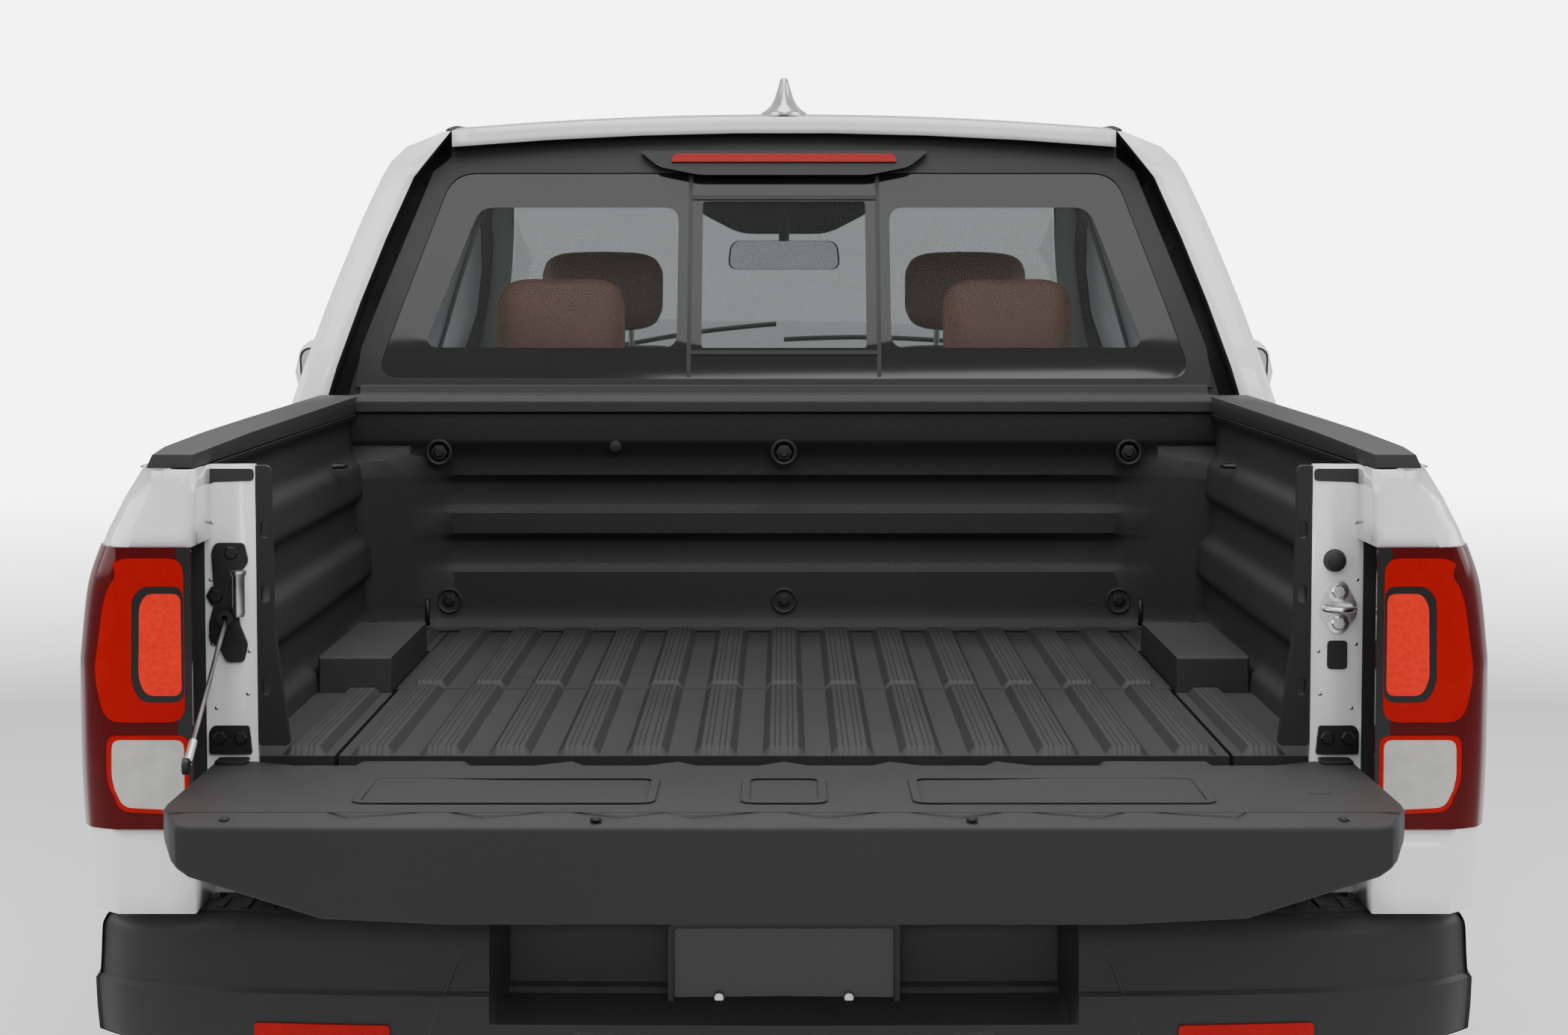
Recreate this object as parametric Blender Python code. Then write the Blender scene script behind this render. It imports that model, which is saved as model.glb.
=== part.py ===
"""Crew-cab unibody pickup truck with its tailgate lowered.

Metres, +Z up. +Y is the way the truck drives and +X is its right-hand side. Stations along the
truck are given ahead of the rear bumper's face, under the empty "truck", which puts the origin
on the ground below the middle of the whole object. Body panels are cut from two curved
surfaces: a side surface (half-width over station and height) and a top surface (height over
half-width and station).
"""
import math

import bmesh
import bpy
import numpy as np
from mathutils import Matrix, Vector
from mathutils.geometry import delaunay_2d_cdt

# Overall sizes
LENGTH = 5.335            # rear bumper to front bumper
WIDTH = 1.995             # over the wheel-arch flares
HEIGHT = 1.800            # ground to roof
WHEELBASE = 3.180
REAR_OVERHANG = 1.190     # rear bumper to rear axle
TRACK = 1.690

# Wheels
TYRE_RADIUS = 0.3755
TYRE_WIDTH = 0.245
RIM_RADIUS = 0.229
ARCH_RADIUS = 0.420
FLARE = 0.0225            # how far the arch lips stand out
WHEEL_SIDES = 32

# Bed
BED_REAR = 0.235          # station of the floor's rear edge
BED_LENGTH = 1.580
FLOOR_Z = 0.800
FLOOR_THICK = 0.030
RIB_PITCH = 0.0965
RIB_HEIGHT = 0.012
RIB_BASE = 0.060
RIB_TOP = 0.038
RIBS_EACH_SIDE = 6
BED_HALF = 0.762          # inner wall at the floor
WALL_LEAN = 0.045         # how far the inner wall leans out on its way up
WALL_OUT = 0.829          # outer face of the inner wall, inner face of the bedside
RAIL_Z = 1.235
HOUSE_TOP = 0.855
LID_LENGTH = 0.735
BIN_HALF = 0.540
BIN_FLOOR_Z = 0.430
BIN_WALL = 0.008

# Tailgate, on a bar along its lower edge
GATE_HEIGHT = 0.500
GATE_THICK = 0.137
GATE_EDGE = 0.041         # thickness at its ends
GATE_HALF = 0.790
GATE_PIVOT_UP = 0.045     # pivot below the gate's inner face
GATE_PIVOT_IN = 0.055     # pivot behind the gate's front edge
GATE_FACE = 0.150         # station of the pivot

# Cab
CAB_BEHIND = 0.085        # from the bed's front wall to the cab
DOOR_SPLIT = 2.930
DOOR_FRONT = 3.865
DOOR_THICK = 0.100
SIDE_THICK = 0.145
REAR_PILLAR = 0.062       # side frame's thickness beside the rear window
ROCKER_Z = 0.330
DOOR_Z = 0.430
SEAM_HALF = 0.663         # roof seam
ROOF_CROWN = 0.028
ROOF_THICK = 0.032
GLASS_THICK = 0.006
SEAT_X = 0.380
SEAT_WIDTH = 0.480

# Fits
GAP = 0.0003              # between pieces that touch
SHUT = 0.006              # round a moving panel
SWING = 0.012             # behind the rear door, whose inner corner swings back as it opens
TOL = 1.0e-6

REACH = GATE_HEIGHT - GATE_PIVOT_IN - GATE_FACE      # open tailgate behind the bumper
REAR_AXLE = REAR_OVERHANG
FRONT_AXLE = REAR_OVERHANG + WHEELBASE
NOSE = LENGTH - 5.335                                # shift of all that is placed from the front
BED_FRONT = BED_REAR + BED_LENGTH
CAB_REAR = BED_FRONT + CAB_BEHIND
DOOR_REAR = CAB_REAR + 0.160
LID_HALF = RIBS_EACH_SIDE * RIB_PITCH + RIB_BASE / 2 + 0.016
HOUSE_HALF = LID_HALF + 0.010                        # inner face of the wheelhouses
SIDE_HALF = WIDTH / 2 - FLARE                        # body side between the flares
GATE_PIVOT_Z = FLOOR_Z - GATE_PIVOT_UP
AXLES = (REAR_AXLE, FRONT_AXLE)


# ---------------------------------------------------------------- curves and surfaces

def curve(*points):
    """Monotone cubic through (t, value) points, held flat beyond both ends."""
    t = np.array([p[0] for p in points], float)
    v = np.array([p[1] for p in points], float)
    step = np.diff(t)
    slope = np.diff(v) / step
    tangent = np.zeros(len(t))
    same = slope[:-1] * slope[1:] > 0
    both = slope[:-1] + slope[1:]
    tangent[1:-1] = np.where(same, 2 * slope[:-1] * slope[1:] / np.where(same, both, 1.0), 0.0)
    tangent[0] = slope[0]
    tangent[-1] = slope[-1]

    def value(at):
        at = np.clip(np.asarray(at, float), t[0], t[-1])
        k = np.clip(np.searchsorted(t, at) - 1, 0, len(t) - 2)
        s = (at - t[k]) / step[k]
        h00 = (1 + 2 * s) * (1 - s) ** 2
        h01 = s * s * (3 - 2 * s)
        h10 = s * (1 - s) ** 2 * step[k]
        h11 = s * s * (s - 1) * step[k]
        return h00 * v[k] + h01 * v[k + 1] + h10 * tangent[k] + h11 * tangent[k + 1]
    return value


# Half-width of the body side, as a share of the widest, and the way it falls away
PLAN = curve((0.055, -0.085), (0.065, -0.055), (0.085, -0.030), (0.14, -0.013), (0.50, -0.005),
             (1.19, 0.0), (3.20, -0.003), (4.37 + NOSE, -0.004), (4.85 + NOSE, -0.018),
             (5.00 + NOSE, -0.035), (5.10 + NOSE, -0.06))
LOWER = curve((0.30, -0.070), (0.42, -0.032), (0.60, -0.012), (0.85, 0.0), (1.00, 0.0))
BED_SHOULDER = curve((0.95, 0.0), (1.05, -0.012), (1.11, -0.032), (1.17, -0.062), (1.235, -0.092))
CAB_SHOULDER = curve((0.95, 0.0), (1.10, -0.012), (1.22, -0.034))
BELT = curve((CAB_REAR, 1.215), (2.6, 1.165), (DOOR_FRONT, 1.125))
RAIL_TOP = curve((CAB_REAR, HEIGHT - 0.075), (2.13, HEIGHT - 0.052), (2.35, HEIGHT - 0.036),
                 (2.80, HEIGHT - 0.028), (3.10, HEIGHT - 0.047), (3.30, HEIGHT - 0.085),
                 (3.60, HEIGHT - 0.285), (3.85, HEIGHT - 0.485), (4.06, HEIGHT - 0.655))
SEAM = curve((2.10, SEAM_HALF), (3.00, SEAM_HALF - 0.005), (3.30, 0.635), (4.06, 0.735))
TUMBLE = curve((0.0, 0.0), (0.49, 0.30), (0.78, 0.51), (0.894, 0.62), (0.96, 0.77), (1.0, 1.0))
HOOD_EDGE = curve((3.86, 1.120), (4.40 + NOSE, 1.100), (4.80 + NOSE, 1.052), (5.05 + NOSE, 0.998),
                  (5.20 + NOSE, 0.950))
HOOD_HALF = curve((3.86, 0.735), (4.50 + NOSE, 0.765), (5.00 + NOSE, 0.745), (5.20 + NOSE, 0.700))
ROUND_OVER = curve((3.86, 0.035), (4.40, 0.090), (4.90 + NOSE, 0.160))    # of the fender's top
SCREEN_BOW = curve((2.60, 0.0), (3.20, 0.130))       # how far the windscreen bulges forward
REAR_LEAN = curve((1.20, 0.0), (1.30, 0.020), (1.68, 0.225), (1.75, 0.262))


def flare(u, z):
    """Arch lips: a rounded ridge just outside each wheel arch."""
    out = 0.0
    for axle in AXLES:
        from_arch = (np.hypot(u - axle, z - TYRE_RADIUS) - ARCH_RADIUS) / 0.055
        out = out + FLARE * np.exp(-from_arch ** 2)
    return out


def bed_side(u, z):
    return SIDE_HALF + PLAN(u) + LOWER(z) + BED_SHOULDER(z) + flare(u, z)


def cab_side(u, z):
    """Body side of the cab: the doors' skin below the belt, leaning in above it."""
    belt = BELT(u)
    low = SIDE_HALF + PLAN(u) + LOWER(z) + CAB_SHOULDER(np.minimum(z, belt)) + flare(u, z)
    up = np.clip((z - belt) / np.maximum(RAIL_TOP(u) - belt, 0.02), 0.0, 1.0)
    return low - (low - SEAM(u)) * TUMBLE(up)


def fender_side(u, z):
    """Front fender, rounded over to the hood's edge."""
    low = SIDE_HALF + PLAN(u) + LOWER(z) + flare(u, z)
    up = np.clip((z - HOOD_EDGE(u)) / ROUND_OVER(u) + 1, 0.0, 1.0)
    return HOOD_HALF(u) + (low - HOOD_HALF(u)) * (1 - up ** 2.2) ** 0.6


def roof_top(x, u):
    """Height of roof and windscreen, which bulge forward in the middle."""
    side = np.clip((x / SEAM(u)) ** 2, 0.0, 1.0)
    return RAIL_TOP(u - SCREEN_BOW(u) * (1 - side)) + ROOF_CROWN * (1 - side)


def hood_top(x, u):
    side = np.clip(np.abs(x) / HOOD_HALF(u), 0.0, 1.0)
    return HOOD_EDGE(u) + 0.034 * (1 - side ** 2.5)


def rear_screen(x, z):
    """Station of the cab's rear face, which leans forward above the bed."""
    return CAB_REAR + 0.035 + REAR_LEAN(z) + 0.030 * (x / 0.8) ** 2


# ---------------------------------------------------------------- making solids

def material(name, colour, roughness, metallic=0.0):
    mat = bpy.data.materials.new(name)
    mat.use_nodes = True
    shader = mat.node_tree.nodes["Principled BSDF"]
    shader.inputs["Base Color"].default_value = (*colour, 1.0)
    shader.inputs["Roughness"].default_value = roughness
    shader.inputs["Metallic"].default_value = metallic
    return mat


WHITE = dict(colour=(0.86, 0.87, 0.88), roughness=0.25)
TRIM = dict(colour=(0.030, 0.031, 0.033), roughness=0.55)
COMPOSITE = dict(colour=(0.060, 0.061, 0.063), roughness=0.60)
GLASS = dict(colour=(0.035, 0.040, 0.042), roughness=0.05)
STEEL = dict(colour=(0.45, 0.46, 0.47), roughness=0.45, metallic=0.9)
DARK_STEEL = dict(colour=(0.09, 0.09, 0.10), roughness=0.60, metallic=0.6)
RUBBER = dict(colour=(0.025, 0.025, 0.026), roughness=0.80)
ALLOY = dict(colour=(0.55, 0.56, 0.57), roughness=0.35, metallic=0.9)
LEATHER = dict(colour=(0.23, 0.13, 0.08), roughness=0.55)
RED_LENS = dict(colour=(0.45, 0.012, 0.015), roughness=0.10)
CLEAR_LENS = dict(colour=(0.75, 0.77, 0.80), roughness=0.08)


def empty(name, location, parent=None):
    pivot = bpy.data.objects.new(name, None)
    pivot.location = location
    pivot.parent = parent
    bpy.context.scene.collection.objects.link(pivot)
    return pivot


def finish(name, bm, look, pivot, smooth=False):
    """Turn a bmesh, given in truck stations, into a named object under its pivot."""
    offset = -Vector(pivot.location) if pivot.parent else Vector((0, 0, 0))
    bmesh.ops.translate(bm, verts=bm.verts, vec=offset)
    mesh = bpy.data.meshes.new(name)
    bm.to_mesh(mesh)
    bm.free()
    if smooth:
        mesh.shade_smooth()
        mesh.set_sharp_from_angle(angle=math.radians(40))
    obj = bpy.data.objects.new(name, mesh)
    obj.parent = pivot
    bpy.context.scene.collection.objects.link(obj)
    mesh.materials.append(material(name, **look))
    return obj


def inside(points, loop):
    """Even-odd test of 2-D points against a closed loop."""
    a = loop[:, None, :]
    b = np.roll(loop, -1, axis=0)[:, None, :]
    p = points[None, :, :]
    rise = b[..., 1] - a[..., 1]
    spans = (a[..., 1] > p[..., 1]) != (b[..., 1] > p[..., 1])
    cut = a[..., 0] + (p[..., 1] - a[..., 1]) * (b[..., 0] - a[..., 0]) / np.where(rise == 0, 1, rise)
    return (np.sum(spans & (p[..., 0] < cut), axis=0) % 2) == 1


def refine(loop, step):
    """Split the loop's long edges so that no piece is longer than step."""
    out = []
    for a, b in zip(loop, np.roll(loop, -1, axis=0)):
        parts = max(1, math.ceil(float(np.hypot(*(b - a))) / step - TOL))
        out += [a + (b - a) * k / parts for k in range(parts)]
    return np.array(out)


def clear_of(points, loop, distance):
    """Mask of the points that lie further than distance from the loop."""
    a = loop[:, None, :]
    d = np.roll(loop, -1, axis=0)[:, None, :] - a
    p = points[None, :, :] - a
    t = np.clip(np.sum(p * d, axis=2) / np.sum(d * d, axis=2), 0, 1)
    return np.min(np.linalg.norm(p - t[..., None] * d, axis=2), axis=0) > distance


def arc(centre, radius, start, stop, steps):
    """Points on a circle from start to stop, in degrees."""
    angle = np.radians(np.linspace(start, stop, steps + 1))
    return [(centre[0] + radius * math.cos(a), centre[1] + radius * math.sin(a)) for a in angle]


def rounded(corners, radius, steps=3):
    """Polygon with every corner rounded by one radius."""
    pts = np.array(corners, float)
    out = []
    for k in range(len(pts)):
        here, before, after = pts[k], pts[k - 1], pts[(k + 1) % len(pts)]
        inn = (before - here) / np.hypot(*(before - here))
        way = (after - here) / np.hypot(*(after - here))
        reach = min(radius, 0.45 * np.hypot(*(before - here)), 0.45 * np.hypot(*(after - here)))
        for s in np.linspace(0, 1, steps + 1):
            out.append(here + inn * reach * (1 - s) ** 2 + way * reach * s ** 2)
    return np.array(out)


def panel(axis, outline, outer, inner, holes=(), step=0.14, extra=()):
    """Closed wall between two height functions over a 2-D outline.

    The flat pair of coordinates is (y, z) for axis x, (x, z) for y and (x, y) for z, and the
    outer face looks along +x, -y and +z.
    """
    loops = [refine(np.array(loop, float), step) for loop in (outline, *holes)]
    box = loops[0]
    grid = [np.arange(lo + step / 2, hi, step) for lo, hi in zip(box.min(axis=0), box.max(axis=0))]
    points = np.array([(a, b) for a in grid[0] for b in grid[1]] + list(extra)).reshape(-1, 2)
    keep = inside(points, loops[0])
    for loop in loops[1:]:
        keep &= ~inside(points, loop)
    for loop in loops:
        keep &= clear_of(points, loop, step * 0.3)
    if len(extra):
        keep[-len(extra):] |= inside(points[-len(extra):], loops[0])
    flat = [p for loop in loops for p in loop] + list(points[keep])
    edges = []
    first = 0
    for loop in loops:
        edges += [(first + k, first + (k + 1) % len(loop)) for k in range(len(loop))]
        first += len(loop)
    made = delaunay_2d_cdt([Vector(p) for p in flat], edges, [], 0, TOL)
    spot = np.array([tuple(v) for v in made[0]])
    tris = np.array(made[2])
    centre = spot[tris].mean(axis=1)
    good = inside(centre, loops[0])
    for loop in loops[1:]:
        good &= ~inside(centre, loop)
    tris = tris[good]
    p, q, r = (spot[tris[:, k]] for k in range(3))
    turn = (q[:, 0] - p[:, 0]) * (r[:, 1] - p[:, 1]) - (q[:, 1] - p[:, 1]) * (r[:, 0] - p[:, 0])
    tris = np.where(turn[:, None] > 0, tris, tris[:, ::-1])
    front = np.broadcast_to(outer(spot[:, 0], spot[:, 1]), len(spot))
    back = np.broadcast_to(inner(spot[:, 0], spot[:, 1]), len(spot))
    order = {"x": (2, 0, 1), "y": (0, 2, 1), "z": (0, 1, 2)}[axis]
    bm = bmesh.new()
    sheets = []
    for depth in (front, back):
        full = np.column_stack([spot, depth])[:, order]
        sheets.append([bm.verts.new(v) for v in full])
    sides = {}
    for a, b, c in tris.tolist():
        bm.faces.new((sheets[0][a], sheets[0][b], sheets[0][c]))
        bm.faces.new((sheets[1][c], sheets[1][b], sheets[1][a]))
        for edge in ((a, b), (b, c), (c, a)):
            sides[edge] = True
    for a, b in sides:
        if (b, a) not in sides:
            bm.faces.new((sheets[0][a], sheets[1][a], sheets[1][b], sheets[0][b]))
    loose = [v for v in bm.verts if not v.link_faces]
    bmesh.ops.delete(bm, geom=loose, context="VERTS")
    return bm


def flat(value):
    """A height function that is the same everywhere."""
    return lambda a, b: value


def mirrored(bm):
    """The same solid on the other side of the truck."""
    for v in bm.verts:
        v.co.x = -v.co.x
    bmesh.ops.reverse_faces(bm, faces=bm.faces)
    return bm


def block(low, high):
    corners = [(low[0], low[1]), (high[0], low[1]), (high[0], high[1]), (low[0], high[1])]
    return panel("z", corners, flat(high[2]), flat(low[2]), step=10.0)


def turned(profile, centre, sides=WHEEL_SIDES, lift=True):
    """Solid turned about a line along X: profile is a closed loop of (x, radius)."""
    bm = bmesh.new()
    half = math.pi / sides if lift else 0.0
    rings = []
    for k in range(sides):
        angle = 2 * math.pi * k / sides + half - math.pi / 2
        rings.append([bm.verts.new((centre[0] + x, centre[1] + r * math.cos(angle),
                                    centre[2] + r * math.sin(angle))) for x, r in profile])
    for k in range(sides):
        near = rings[k]
        far = rings[(k + 1) % sides]
        for j in range(len(profile)):
            n = (j + 1) % len(profile)
            bm.faces.new((near[j], near[n], far[n], far[j]))
    bmesh.ops.recalc_face_normals(bm, faces=bm.faces)
    return bm


def rod(path, radius, sides=8):
    """Round bar along a path, with flat ends."""
    bm = bmesh.new()
    points = [Vector(p) for p in path]
    rings = []
    for k, here in enumerate(points):
        way = (points[min(k + 1, len(points) - 1)] - points[max(k - 1, 0)]).normalized()
        side = way.cross(Vector((0.0, 0.3, 1.0))).normalized()
        up = side.cross(way)
        rings.append([bm.verts.new(here + radius * (side * math.cos(a) + up * math.sin(a)))
                      for a in (2 * math.pi * j / sides for j in range(sides))])
    for near, far in zip(rings, rings[1:]):
        for j in range(sides):
            n = (j + 1) % sides
            bm.faces.new((near[j], near[n], far[n], far[j]))
    bm.faces.new(rings[0][::-1])
    bm.faces.new(rings[-1])
    bmesh.ops.recalc_face_normals(bm, faces=bm.faces)
    return bm


def combined(parts, cutters=()):
    """Exact union of solids, less the cutters."""
    base = None
    for k, bm in enumerate(list(parts) + list(cutters)):
        mesh = bpy.data.meshes.new("step")
        bmesh.ops.triangulate(bm, faces=bm.faces)
        bm.to_mesh(mesh)
        bm.free()
        obj = bpy.data.objects.new("step", mesh)
        bpy.context.scene.collection.objects.link(obj)
        if base is None:
            base = obj
            continue
        cut = base.modifiers.new("join", "BOOLEAN")
        cut.operation = "UNION" if k < len(parts) else "DIFFERENCE"
        cut.solver = "EXACT"
        cut.object = obj
        evaluated = base.evaluated_get(bpy.context.evaluated_depsgraph_get())
        result = bpy.data.meshes.new_from_object(evaluated)
        base.modifiers.clear()
        base.data = result
        bpy.data.objects.remove(obj)
    out = bmesh.new()
    out.from_mesh(base.data)
    bpy.data.objects.remove(base)
    bmesh.ops.remove_doubles(out, verts=out.verts, dist=TOL * 10)
    bmesh.ops.dissolve_limit(out, angle_limit=math.radians(0.2), verts=out.verts, edges=out.edges)
    bmesh.ops.triangulate(out, faces=out.faces)
    return out


def both(name, make, look, pivots, smooth=False):
    """Right piece as made, left piece as its mirror image."""
    finish(name + "_right", make(), look, pivots[1], smooth)
    finish(name + "_left", mirrored(make()), look, pivots[0], smooth)


# ---------------------------------------------------------------- bed

def arch_edge(axle, start, stop, steps=10):
    return arc((axle, TYRE_RADIUS), ARCH_RADIUS, start, stop, steps)


JAMB_HALF = 0.735         # inner edge of the white post
JAMB_DEEP = 0.018
LAMP_LOW = 0.726
LAMP_HIGH = 1.108
LAMP_FRONT = 0.235
TAIL_FACE = 0.062         # station of the body's rear corner
CORNER_IN = GATE_HALF + 0.007     # inner edge of the corner beside the tailgate
CORNER_FRONT = BED_REAR - JAMB_DEEP - GAP
SILL_Z = 0.610            # body side's lower edge behind the arch


def arch_start(z):
    """Angle at which the arch circle passes a height, in degrees."""
    return math.degrees(math.asin((z - TYRE_RADIUS) / ARCH_RADIUS))


def bedside():
    low = 0.400
    turn = arch_start(low)
    rear_turn = arch_start(SILL_Z)
    lamp = LAMP_FRONT + GAP
    outline = [(lamp, LAMP_LOW - GAP), (TAIL_FACE, LAMP_LOW - GAP), (TAIL_FACE, SILL_Z)]
    outline += arch_edge(REAR_AXLE, 180 - rear_turn, turn)
    outline += [(CAB_REAR - 0.012, low), (CAB_REAR - 0.012, RAIL_Z - 0.022)]
    outline += [(TAIL_FACE, RAIL_Z - 0.022), (TAIL_FACE, LAMP_HIGH + GAP), (lamp, LAMP_HIGH + GAP)]
    ring = arc((REAR_AXLE, TYRE_RADIUS), ARCH_RADIUS + 0.06, turn, 180 - rear_turn, 10)
    columns = [(u, z) for u in (0.075, 0.10, 0.15) for z in (0.655, 1.17)]
    skin = panel("x", outline, bed_side, flat(WALL_OUT), extra=ring + columns)
    root = WALL_OUT + 0.020
    above = block((CORNER_IN, TAIL_FACE, LAMP_HIGH + GAP), (root, CORNER_FRONT, RAIL_Z - 0.024))
    below = block((CORNER_IN, TAIL_FACE, SILL_Z), (root, CORNER_FRONT, LAMP_LOW - GAP))
    return combined([skin, jamb_post(), above, below])


def tail_light():
    outline = [(TAIL_FACE - 0.004, LAMP_LOW), (LAMP_FRONT - 0.03, LAMP_LOW), (LAMP_FRONT, LAMP_HIGH),
               (TAIL_FACE - 0.004, LAMP_HIGH)]
    columns = [(u, z) for u in (0.068, 0.08, 0.10, 0.14) for z in np.linspace(0.76, 1.06, 5)]
    outer = panel("x", outline, lambda u, z: bed_side(u, z) + 0.002, flat(WALL_OUT + GAP),
                  step=0.10, extra=columns)
    inner = block((CORNER_IN, TAIL_FACE - 0.004, LAMP_LOW), (WALL_OUT + 0.02, CORNER_FRONT - GAP, LAMP_HIGH))
    return combined([outer, inner])


def wall_inner(u, z):
    """Inner face of the bed wall: leaning out, with three long ribs."""
    up = (z - FLOOR_Z) / (RAIL_Z - FLOOR_Z)
    return BED_HALF + WALL_LEAN * up - 0.007 * np.cos(up * 3 * 2 * math.pi)


def bed_wall():
    """Side wall of the bed, as a profile in (x, z) carried along the bed."""
    heights = np.linspace(FLOOR_Z + GAP, RAIL_Z - 0.022, 15)
    inner = [(float(wall_inner(0, z)), z) for z in heights]
    outer = [(WALL_OUT - GAP, heights[-1]), (WALL_OUT - GAP, heights[0])]
    return slab((inner + outer)[::-1], BED_REAR, BED_FRONT + 0.020)


def bed_liner():
    """Composite walls of the bed in one piece, with the pillar trims at their ends."""
    parts = [bed_front_wall(), bed_wall(), mirrored(bed_wall())]
    return combined(parts + [jamb_trim(), mirrored(jamb_trim())])


HOUSE_REAR = REAR_AXLE - 0.255
HOUSE_FRONT = REAR_AXLE + 0.310
LINER_HALF = TRACK / 2 - TYRE_WIDTH / 2 - 0.0275      # inner wall of the rear wheel's liner
LINER_RADIUS = 0.402
WALL_FOOT = BED_HALF - 0.008      # inner face of the bed wall where it meets the floor
LID_FRONT = BED_REAR + LID_LENGTH
UNDER = FLOOR_Z - FLOOR_THICK


def wheelhouse():
    """Liner over the rear wheel, with the box that it makes in the bed."""
    rear = REAR_AXLE - ARCH_RADIUS - 0.030
    front = REAR_AXLE + ARCH_RADIUS + 0.030
    low = 0.46
    step_z = UNDER + 0.010
    outside = [(rear, low), (front, low), (front, step_z - 0.03), (HOUSE_FRONT, step_z - 0.03),
               (HOUSE_FRONT - 0.02, HOUSE_TOP), (HOUSE_REAR + 0.02, HOUSE_TOP),
               (HOUSE_REAR, step_z - 0.03), (rear, step_z - 0.03)]
    wall = WALL_OUT - GAP
    body = panel("x", outside, flat(wall), flat(HOUSE_HALF), step=10)
    wheel = panel("x", arc((REAR_AXLE, TYRE_RADIUS), LINER_RADIUS, 0, 360, 24)[:-1],
                  flat(wall + 0.1), flat(LINER_HALF + 0.012), step=10)
    above = block((WALL_FOOT - GAP, rear - 0.1, FLOOR_Z), (1.0, front + 0.1, 2.0))
    inboard = block((HOUSE_HALF - 0.1, rear - 0.1, 0.0), (LINER_HALF, front + 0.1, step_z))
    return combined([body], [wheel, above, inboard])


def rib_profile(first, last, low_half, high_half, under=UNDER):
    """Ribbed slab in (x, z), with the ribs from first to last."""
    top = []
    for k in range(first, last + 1):
        centre = k * RIB_PITCH
        top += [(centre - RIB_BASE / 2, FLOOR_Z), (centre - RIB_TOP / 2, FLOOR_Z + RIB_HEIGHT),
                (centre + RIB_TOP / 2, FLOOR_Z + RIB_HEIGHT), (centre + RIB_BASE / 2, FLOOR_Z)]
    foot = [(low_half, under), (high_half, under), (high_half, FLOOR_Z)]
    return foot + top[::-1] + [(low_half, FLOOR_Z)]


def slab(profile, rear, front):
    """A profile in (x, z) carried from one station to another."""
    return panel("y", profile, flat(rear), flat(front), step=10)


def bed_floor():
    """Front ribbed floor, the strips beside the lid and the ledge that the lid lies on."""
    middle = LID_HALF + SHUT
    front = slab(rib_profile(-RIBS_EACH_SIDE, RIBS_EACH_SIDE, -middle, middle),
                 LID_FRONT + SHUT, BED_FRONT - GAP)
    rim = [(-LINER_HALF + 0.005, BED_REAR + 0.010), (LINER_HALF - 0.005, BED_REAR + 0.010),
           (LINER_HALF - 0.005, LID_FRONT + 0.08), (-LINER_HALF + 0.005, LID_FRONT + 0.08)]
    hole = [(-BIN_HALF - 0.03, BED_REAR + 0.05), (BIN_HALF + 0.03, BED_REAR + 0.05),
            (BIN_HALF + 0.03, LID_FRONT - 0.03), (-BIN_HALF - 0.03, LID_FRONT - 0.03)]
    ledge = panel("z", rim, flat(UNDER + 0.001), flat(UNDER - 0.022), holes=[hole], step=10)
    parts = [front, ledge]
    for side in (mirrored, lambda bm: bm):
        seventh = RIBS_EACH_SIDE + 1
        parts.append(side(slab(rib_profile(seventh, seventh, middle, WALL_FOOT - GAP),
                               BED_REAR, HOUSE_REAR - SHUT)))
        parts.append(side(slab(rib_profile(seventh, seventh, middle - 0.002, WALL_FOOT - GAP),
                               HOUSE_FRONT + SHUT, BED_FRONT - GAP)))
    return combined(parts)


def trunk_lid():
    profile = rib_profile(-RIBS_EACH_SIDE, RIBS_EACH_SIDE, -LID_HALF, LID_HALF, UNDER + SHUT)
    return slab(profile, BED_REAR, LID_FRONT)


def trunk_bin():
    """Open-topped bin hung under the lid's ledge."""
    top = UNDER - 0.022 - GAP
    rear = BED_REAR + 0.055
    front = LID_FRONT - 0.035
    outer = block((-BIN_HALF, rear, BIN_FLOOR_Z), (BIN_HALF, front, top))
    inner = block((-BIN_HALF + BIN_WALL, rear + BIN_WALL, BIN_FLOOR_Z + BIN_WALL),
                  (BIN_HALF - BIN_WALL, front - BIN_WALL, top + 0.1))
    return combined([outer], [inner])


def bed_front_wall():
    """Composite wall at the cab end, with two recessed bands and slanted corners."""
    low = FLOOR_Z + GAP
    top = RAIL_Z - 0.022
    profile = [(BED_FRONT + 0.050, low), (BED_FRONT + 0.050, top), (BED_FRONT, top),
               (BED_FRONT, top - 0.02), (BED_FRONT + 0.010, top - 0.04), (BED_FRONT + 0.010, 1.13),
               (BED_FRONT + 0.022, 1.12), (BED_FRONT + 0.022, 1.075), (BED_FRONT + 0.010, 1.065),
               (BED_FRONT + 0.010, 1.005), (BED_FRONT + 0.022, 0.995), (BED_FRONT + 0.022, 0.950),
               (BED_FRONT + 0.010, 0.940), (BED_FRONT + 0.010, 0.835), (BED_FRONT, 0.825),
               (BED_FRONT, low)]
    wall = WALL_OUT - 0.004
    return panel("x", profile, flat(wall), flat(-wall), step=10)


def bed_rail():
    """Black cap along the top of the bedside."""
    rear = TAIL_FACE + 0.035
    front = CAB_REAR - 0.014
    outline = [(rear, RAIL_Z - 0.022 + GAP), (front, RAIL_Z - 0.022 + GAP), (front, RAIL_Z + 0.008),
               (rear + 0.5, RAIL_Z + 0.002), (rear, RAIL_Z - 0.004)]
    return panel("x", outline, lambda u, z: bed_side(u, z) - 0.006, flat(BED_HALF + WALL_LEAN - 0.008),
                 step=0.25)


def rail_caps():
    """Both rail caps and the cross rail that joins them at the cab."""
    return combined([header_rail(), bed_rail(), mirrored(bed_rail())])


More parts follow.
